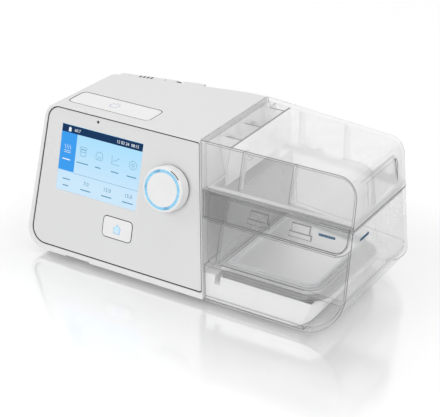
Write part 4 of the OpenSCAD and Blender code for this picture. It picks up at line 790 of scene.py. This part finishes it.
class MACHINE_OT_display(MachineOperator):
    """Lit image on the display window: bar, tiles, icons and plain numbers"""
    bl_idname = "machine.display"
    bl_label = "Display"

    def execute(self, context):
        look = context.scene.machine_display
        field = lit("Screen field", look.field_low, look.glow, look.field, 60, 92)
        for node in ("display_window", "display_module"):
            dress(NODES[node], field)
        bar = lit("Screen bar", look.bar, look.glow)
        tile = lit("Screen tile", look.tile, look.glow)
        ink = lit("Screen ink", look.ink, look.glow)
        paper = lit("Screen paper", look.paper, look.glow)
        areas = (("screen_bar", rectangle(IMAGE_LEFT, BAR_FOOT, IMAGE_RIGHT, IMAGE_TOP), bar),
                 ("screen_tile", rectangle(IMAGE_LEFT, 64.1, TILE_RIGHT, BAR_FOOT), tile),
                 ("screen_divider", rectangle(TILE_RIGHT, DIVIDER_FOOT, IMAGE_RIGHT, 63.85), ink))
        for name, outline, material in areas:
            self.piece(plate([outline]), name, material, LOW_LAYER)
        self.icons(look, ink, paper, HIGH_LAYER)
        self.labels(ink, paper, HIGH_LAYER)
        self.values(ink, paper, HIGH_LAYER)
        return {"FINISHED"}

    def piece(self, piece, name, material, out):
        return finish(piece, name, material, "unit", on_face(0, 0, out))

    def icons(self, look, ink, paper, out):
        width = look.line
        rises = [0.25 * k for k in range(14)]
        heat = [[(x + 0.5 * math.sin(1.9 * rise), rise) for rise in rises] for x in (-2.2, 0, 2.2)]
        heat.append([(-3, -1.3), (3, -1.3)])
        heat.append([(-3, -2.6), (3, -2.6)])
        self.piece(moved(stroke(heat, width), 27.4, 80.6), "screen_heat_icon", paper, out)
        jar = [rounded(rectangle(-3.1, 1.7, 3.1, 3.3), [0.7] * 4, 3),
               rounded(rectangle(-2.5, -3.3, 2.5, 1.3), [0.9] * 4, 3)]
        bands = [arc(3.2, 232, 308, 8, (0, 2.6))]
        self.piece(moved(joined([stroke(jar, width, True), stroke(bands, width)]), 41.5, 81.4),
                   "screen_jar_icon", ink, out)
        drop = [(-2.6, -2.9)] + arc(2.9, 190, -10, 14, (0, 0.2)) + [(2.6, -2.9)]
        door = [(-0.9, -2.9), (-0.9, -0.6), (0.9, -0.6), (0.9, -2.9)]
        self.piece(moved(joined([stroke([drop], width, True), stroke([door], width)]), 55.9, 81.3),
                   "screen_mask_icon", ink, out)
        chart = [[(-3.4, 3.2), (-3.4, -3.0), (3.5, -3.0)],
                 [(-2.4, -1.6), (-1.0, 0.5), (0.2, -0.5), (1.5, 1.4), (3.2, 2.2)]]
        self.piece(moved(stroke(chart, width), 70.4, 81.3), "screen_chart_icon", ink, out)
        nut = stroke([arc(3.4, 90, 450, 6)[:-1], arc(1.1, 0, 360, 14)[:-1]], width, True)
        self.piece(moved(nut, 85.5, 81.4), "screen_nut_icon", ink, out)

    def labels(self, ink, paper, out):
        """Plain bars below the icons and the numbers."""
        bars = ((27.1, 72.7, 7.0), (41.7, 72.7, 10.5), (55.7, 72.7, 5.0), (70.7, 72.7, 6.6),
                (85.4, 72.7, 8.4), (29.0, 58.0, 6.6), (29.0, 53.1, 5.0), (47.1, 53.1, 9.0),
                (65.9, 53.1, 9.0), (84.6, 53.1, 9.4))
        for number, (x, v, length) in enumerate(bars):
            bar = stroke([[(x - length / 2, v), (x + length / 2, v)]], 0.8 * MM, flat=0.1)
            material = paper if number == 0 else ink
            self.piece(bar, "screen_dash_%d" % (number + 1), material, out)

    def values(self, ink, paper, out):
        rows = (("7.0", 47.1, 58.0, 4.0, ink), ("12.0", 65.9, 58.0, 4.0, ink),
                ("15.0", 84.6, 58.0, 4.0, ink), ("60.7", 34.6, 95.5, 3.1, paper),
                ("12 03 24  08:15", 79.0, 95.5, 3.1, paper))
        for number, (text, x, v, size, material) in enumerate(rows):
            self.piece(moved(numbers(text, size), x, v), "screen_number_%d" % (number + 1), material, out)
        cell = [rectangle(26.7, 93.8, 28.9, 96.6), rectangle(27.2, 96.6, 28.4, 97.1)]
        self.piece(plate(cell), "screen_cell_icon", paper, out)


# Where the lid's top turns milky, how far up it is clear, and how far below the lid's top its upper
# faces and the duct's reach, in millimetres. A face this upright counts as one of them.
MILKY_TOP_FROM = 164.6
LID_LINE = 76
LID_TOP_DEPTH = 16
DUCT_TOP_DEPTH = 20
LID_FACE_UP = 0.8
DUCT_FACE_UP = 0.7


class MACHINE_OT_chamber(MachineOperator):
    """Clear tub, lid and duct insert"""
    bl_idname = "machine.chamber"
    bl_label = "Water chamber"

    def execute(self, context):
        look = context.scene.machine_chamber
        clear = clear_plastic("Clear wall", look.tint, look.roughness, 0.05, 0.46)
        inner = clear_plastic("Clear insert", look.top_tint, 0.15, 0.3, 0.7)
        # The edge faces are dark and nearly opaque: painted shade for the dark refraction lines along the clear
        # edges.
        edge = clear_plastic("Clear edge shade", look.edge_shade, 0.2, 0.75, 0.95)
        milky_from = CASE_CORNER.x + MILKY_TOP_FROM * MM
        lid_line = CASE_CORNER.z + LID_LINE * MM
        frosted = clear_plastic("Clear top", look.top_tint, 0.3, 0.4, 0.66, milky_from)
        milky = clear_plastic("Clear lid wall", look.top_tint, look.roughness, 0.17, 0.6, lid_line, "Z")
        moulded("chamber_tub", "tub_shell", clear, "tub", look.edge, edge)
        lid = moulded("chamber_lid", "lid_shell", milky, "lid", look.edge, edge)
        lid.data.materials.append(frosted)
        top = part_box("chamber_lid")[1].z
        for face in lid.data.polygons:
            upper = face.normal.z > LID_FACE_UP and face.center.z > top - LID_TOP_DEPTH * MM
            if upper and face.material_index == 0:
                face.material_index = 2
        duct = moulded("lid_duct", "lid_duct_walls", inner, "lid", look.edge * 0.8, edge)
        # Near-black and nearly opaque: painted shade on the duct walls' tops and ridges, for the dark refraction
        # seen through the lid's top.
        rim = clear_plastic("Duct rim shade", (0.2, 0.2, 0.205), 0.2, 0.9, 1.0)
        duct.data.materials.append(rim)
        for face in duct.data.polygons:
            if face.normal.z > DUCT_FACE_UP and face.center.z > top - DUCT_TOP_DEPTH * MM:
                face.material_index = 2
        self.duct_ridges(rim)
        seal = plastic("Clear silicone", (0.62, 0.63, 0.64), roughness=0.5, relief=0.02)
        for node in ("lid_seal", "tub_base_seal"):
            dress(NODES[node], seal)
        return {"FINISHED"}

    def duct_ridges(self, rim):
        """Welding ridges on the tops of the duct's walls, dark with painted shade so that they show through the
        lid's top as dark lines.
        """
        wall = 160.5
        ridges = [[(wall, 31), (wall, 116)]]
        ridges += [[(start, y), (wall, y)] for start, y in ((147.5, 46.9), (147, 73.7), (148, 108.7))]
        finish(stroke(ridges, 1.1 * MM), "lid_duct_ridges", rim, "lid", on_case(0, 0, 106.62))


# The floor's size and how far it lies under the feet, in metres, its light where it isn't polished, its
# polish at the machine and the distance over which that fades, and the world's light for the object.
FLOOR_SIZE = 6
FLOOR_DROP = 0.4 * MM
FLOOR_LIFT = 0.25
FLOOR_POLISH = 0.5
POLISH_FADE = 110 * MM
WORLD_LIGHT = 0.45
AIM_HEIGHT = 50 * MM


class MACHINE_OT_stage(MachineOperator):
    """Floor, world, lamps and camera"""
    bl_idname = "machine.stage"
    bl_label = "Stage"

    def execute(self, context):
        scene = context.scene
        scene.view_settings.view_transform = "Standard"
        self.world(scene)
        self.floor()
        self.lamps()
        self.camera(scene, scene.machine_stage)
        return {"FINISHED"}

    def world(self, scene):
        world = bpy.data.worlds.new("Studio")
        scene.world = world
        world.use_nodes = True
        tree = world.node_tree
        path = tree.nodes.new("ShaderNodeLightPath").outputs
        seen = maths(tree, "MAXIMUM", path["Is Camera Ray"],
                     maths(tree, "MAXIMUM", path["Is Glossy Ray"], path["Is Transmission Ray"]))
        background = tree.nodes["Background"].inputs
        background["Color"].default_value = (1, 1, 1, 1)
        strength = maths(tree, "MULTIPLY_ADD", seen, 1 - WORLD_LIGHT, WORLD_LIGHT)
        link(tree, strength, background["Strength"])

    def floor(self):
        bpy.ops.object.select_all(action="DESELECT")
        bpy.ops.mesh.primitive_plane_add(size=FLOOR_SIZE, location=(0, 0, -FLOOR_DROP))
        floor = bpy.context.object
        floor.name = "floor"
        material, tree, shader = new_material("Floor white")
        shader.inputs["Base Color"].default_value = (0.84, 0.84, 0.84, 1)
        shader.inputs["Roughness"].default_value = 0.12
        polish = self.polish(tree)
        link(tree, polish, shader.inputs["Metallic"])
        path = tree.nodes.new("ShaderNodeLightPath").outputs
        seen = maths(tree, "MAXIMUM", path["Is Camera Ray"], path["Is Transmission Ray"])
        shader.inputs["Emission Color"].default_value = (1, 1, 1, 1)
        lift = maths(tree, "MULTIPLY_ADD", polish, -FLOOR_LIFT, FLOOR_LIFT)
        link(tree, maths(tree, "MULTIPLY", seen, lift), shader.inputs["Emission Strength"])
        floor.data.materials.append(material)

    def polish(self, tree):
        """The floor's polish, which fades out round the machine."""
        reach = object_position(tree)
        steps = (("ABSOLUTE", None), ("SUBTRACT", HALF_FOOTPRINT), ("MAXIMUM", (0, 0, 0)))
        for operation, value in steps:
            step = tree.nodes.new("ShaderNodeVectorMath")
            step.operation = operation
            link(tree, reach, step.inputs[0])
            if value:
                step.inputs[1].default_value = value
            reach = step.outputs[0]
        length = tree.nodes.new("ShaderNodeVectorMath")
        length.operation = "LENGTH"
        link(tree, reach, length.inputs[0])
        fade = tree.nodes.new("ShaderNodeMapRange")
        fade.interpolation_type = "SMOOTHSTEP"
        fade.inputs["From Max"].default_value = POLISH_FADE
        fade.inputs["To Min"].default_value = FLOOR_POLISH
        fade.inputs["To Max"].default_value = 0.0
        link(tree, length.outputs["Value"], fade.inputs["Value"])
        return fade.outputs[0]

    def lamps(self):
        """Square lamps: name, place and size in metres, and watts, each aimed at the machine."""
        lamps = (("key", (0.3, -1.7, 0.8), 1.1, 10.5), ("left", (-1.3, -0.8, 1.1), 0.9, 5),
                 ("top", (0.1, 0.3, 1.7), 1.4, 9), ("right", (1.5, -0.3, 0.6), 0.8, 3))
        for name, place, size, watts in lamps:
            lamp = bpy.data.lights.new(name, "AREA")
            lamp.energy = watts
            lamp.size = size
            holder = bpy.data.objects.new(name, lamp)
            holder.location = place
            away = Vector(place) - Vector((0, 0, AIM_HEIGHT))
            holder.rotation_euler = away.to_track_quat("Z", "Y").to_euler()
            bpy.context.scene.collection.objects.link(holder)

    def camera(self, scene, look):
        lens = bpy.data.cameras.new("camera")
        lens.lens = look.lens
        lens.sensor_width = 36.0
        camera = bpy.data.objects.new("camera", lens)
        scene.collection.objects.link(camera)
        azimuth, elevation, roll = look.azimuth, look.elevation, look.roll
        back = Vector((math.sin(azimuth) * math.cos(elevation), -math.cos(azimuth) * math.cos(elevation),
                       math.sin(elevation)))
        right = Vector((math.cos(azimuth), math.sin(azimuth), 0))
        up = back.cross(right)
        right, up = (math.cos(roll) * right + math.sin(roll) * up,
                     -math.sin(roll) * right + math.cos(roll) * up)
        turn = Matrix((right, up, back)).transposed()
        camera.matrix_world = Matrix.Translation(Vector(look.camera)) @ turn.to_4x4()
        scene.camera = camera


class MACHINE_PT_panel(bpy.types.Panel):
    bl_label = "Machine"
    bl_idname = "MACHINE_PT_panel"
    bl_space_type = "VIEW_3D"
    bl_region_type = "UI"
    bl_category = "Machine"

    def draw(self, context):
        for step in STEPS:
            self.layout.operator(step.bl_idname)
        for name, group in GROUPS:
            box = self.layout.box()
            for field in group.__annotations__:
                box.prop(getattr(context.scene, name), field)


STEPS = (MACHINE_OT_inner, MACHINE_OT_case, MACHINE_OT_keys, MACHINE_OT_display, MACHINE_OT_chamber,
         MACHINE_OT_stage)


def register():
    for name, group in GROUPS:
        bpy.utils.register_class(group)
        setattr(bpy.types.Scene, name, bpy.props.PointerProperty(type=group))
    for step in STEPS:
        bpy.utils.register_class(step)
    bpy.utils.register_class(MACHINE_PT_panel)


def unregister():
    bpy.utils.unregister_class(MACHINE_PT_panel)
    for step in reversed(STEPS):
        bpy.utils.unregister_class(step)
    for name, group in reversed(GROUPS):
        delattr(bpy.types.Scene, name)
        bpy.utils.unregister_class(group)


def main():
    register()
    for step in STEPS:
        space, name = step.bl_idname.split(".")
        getattr(getattr(bpy.ops, space), name)()


if __name__ == "__main__":
    main()
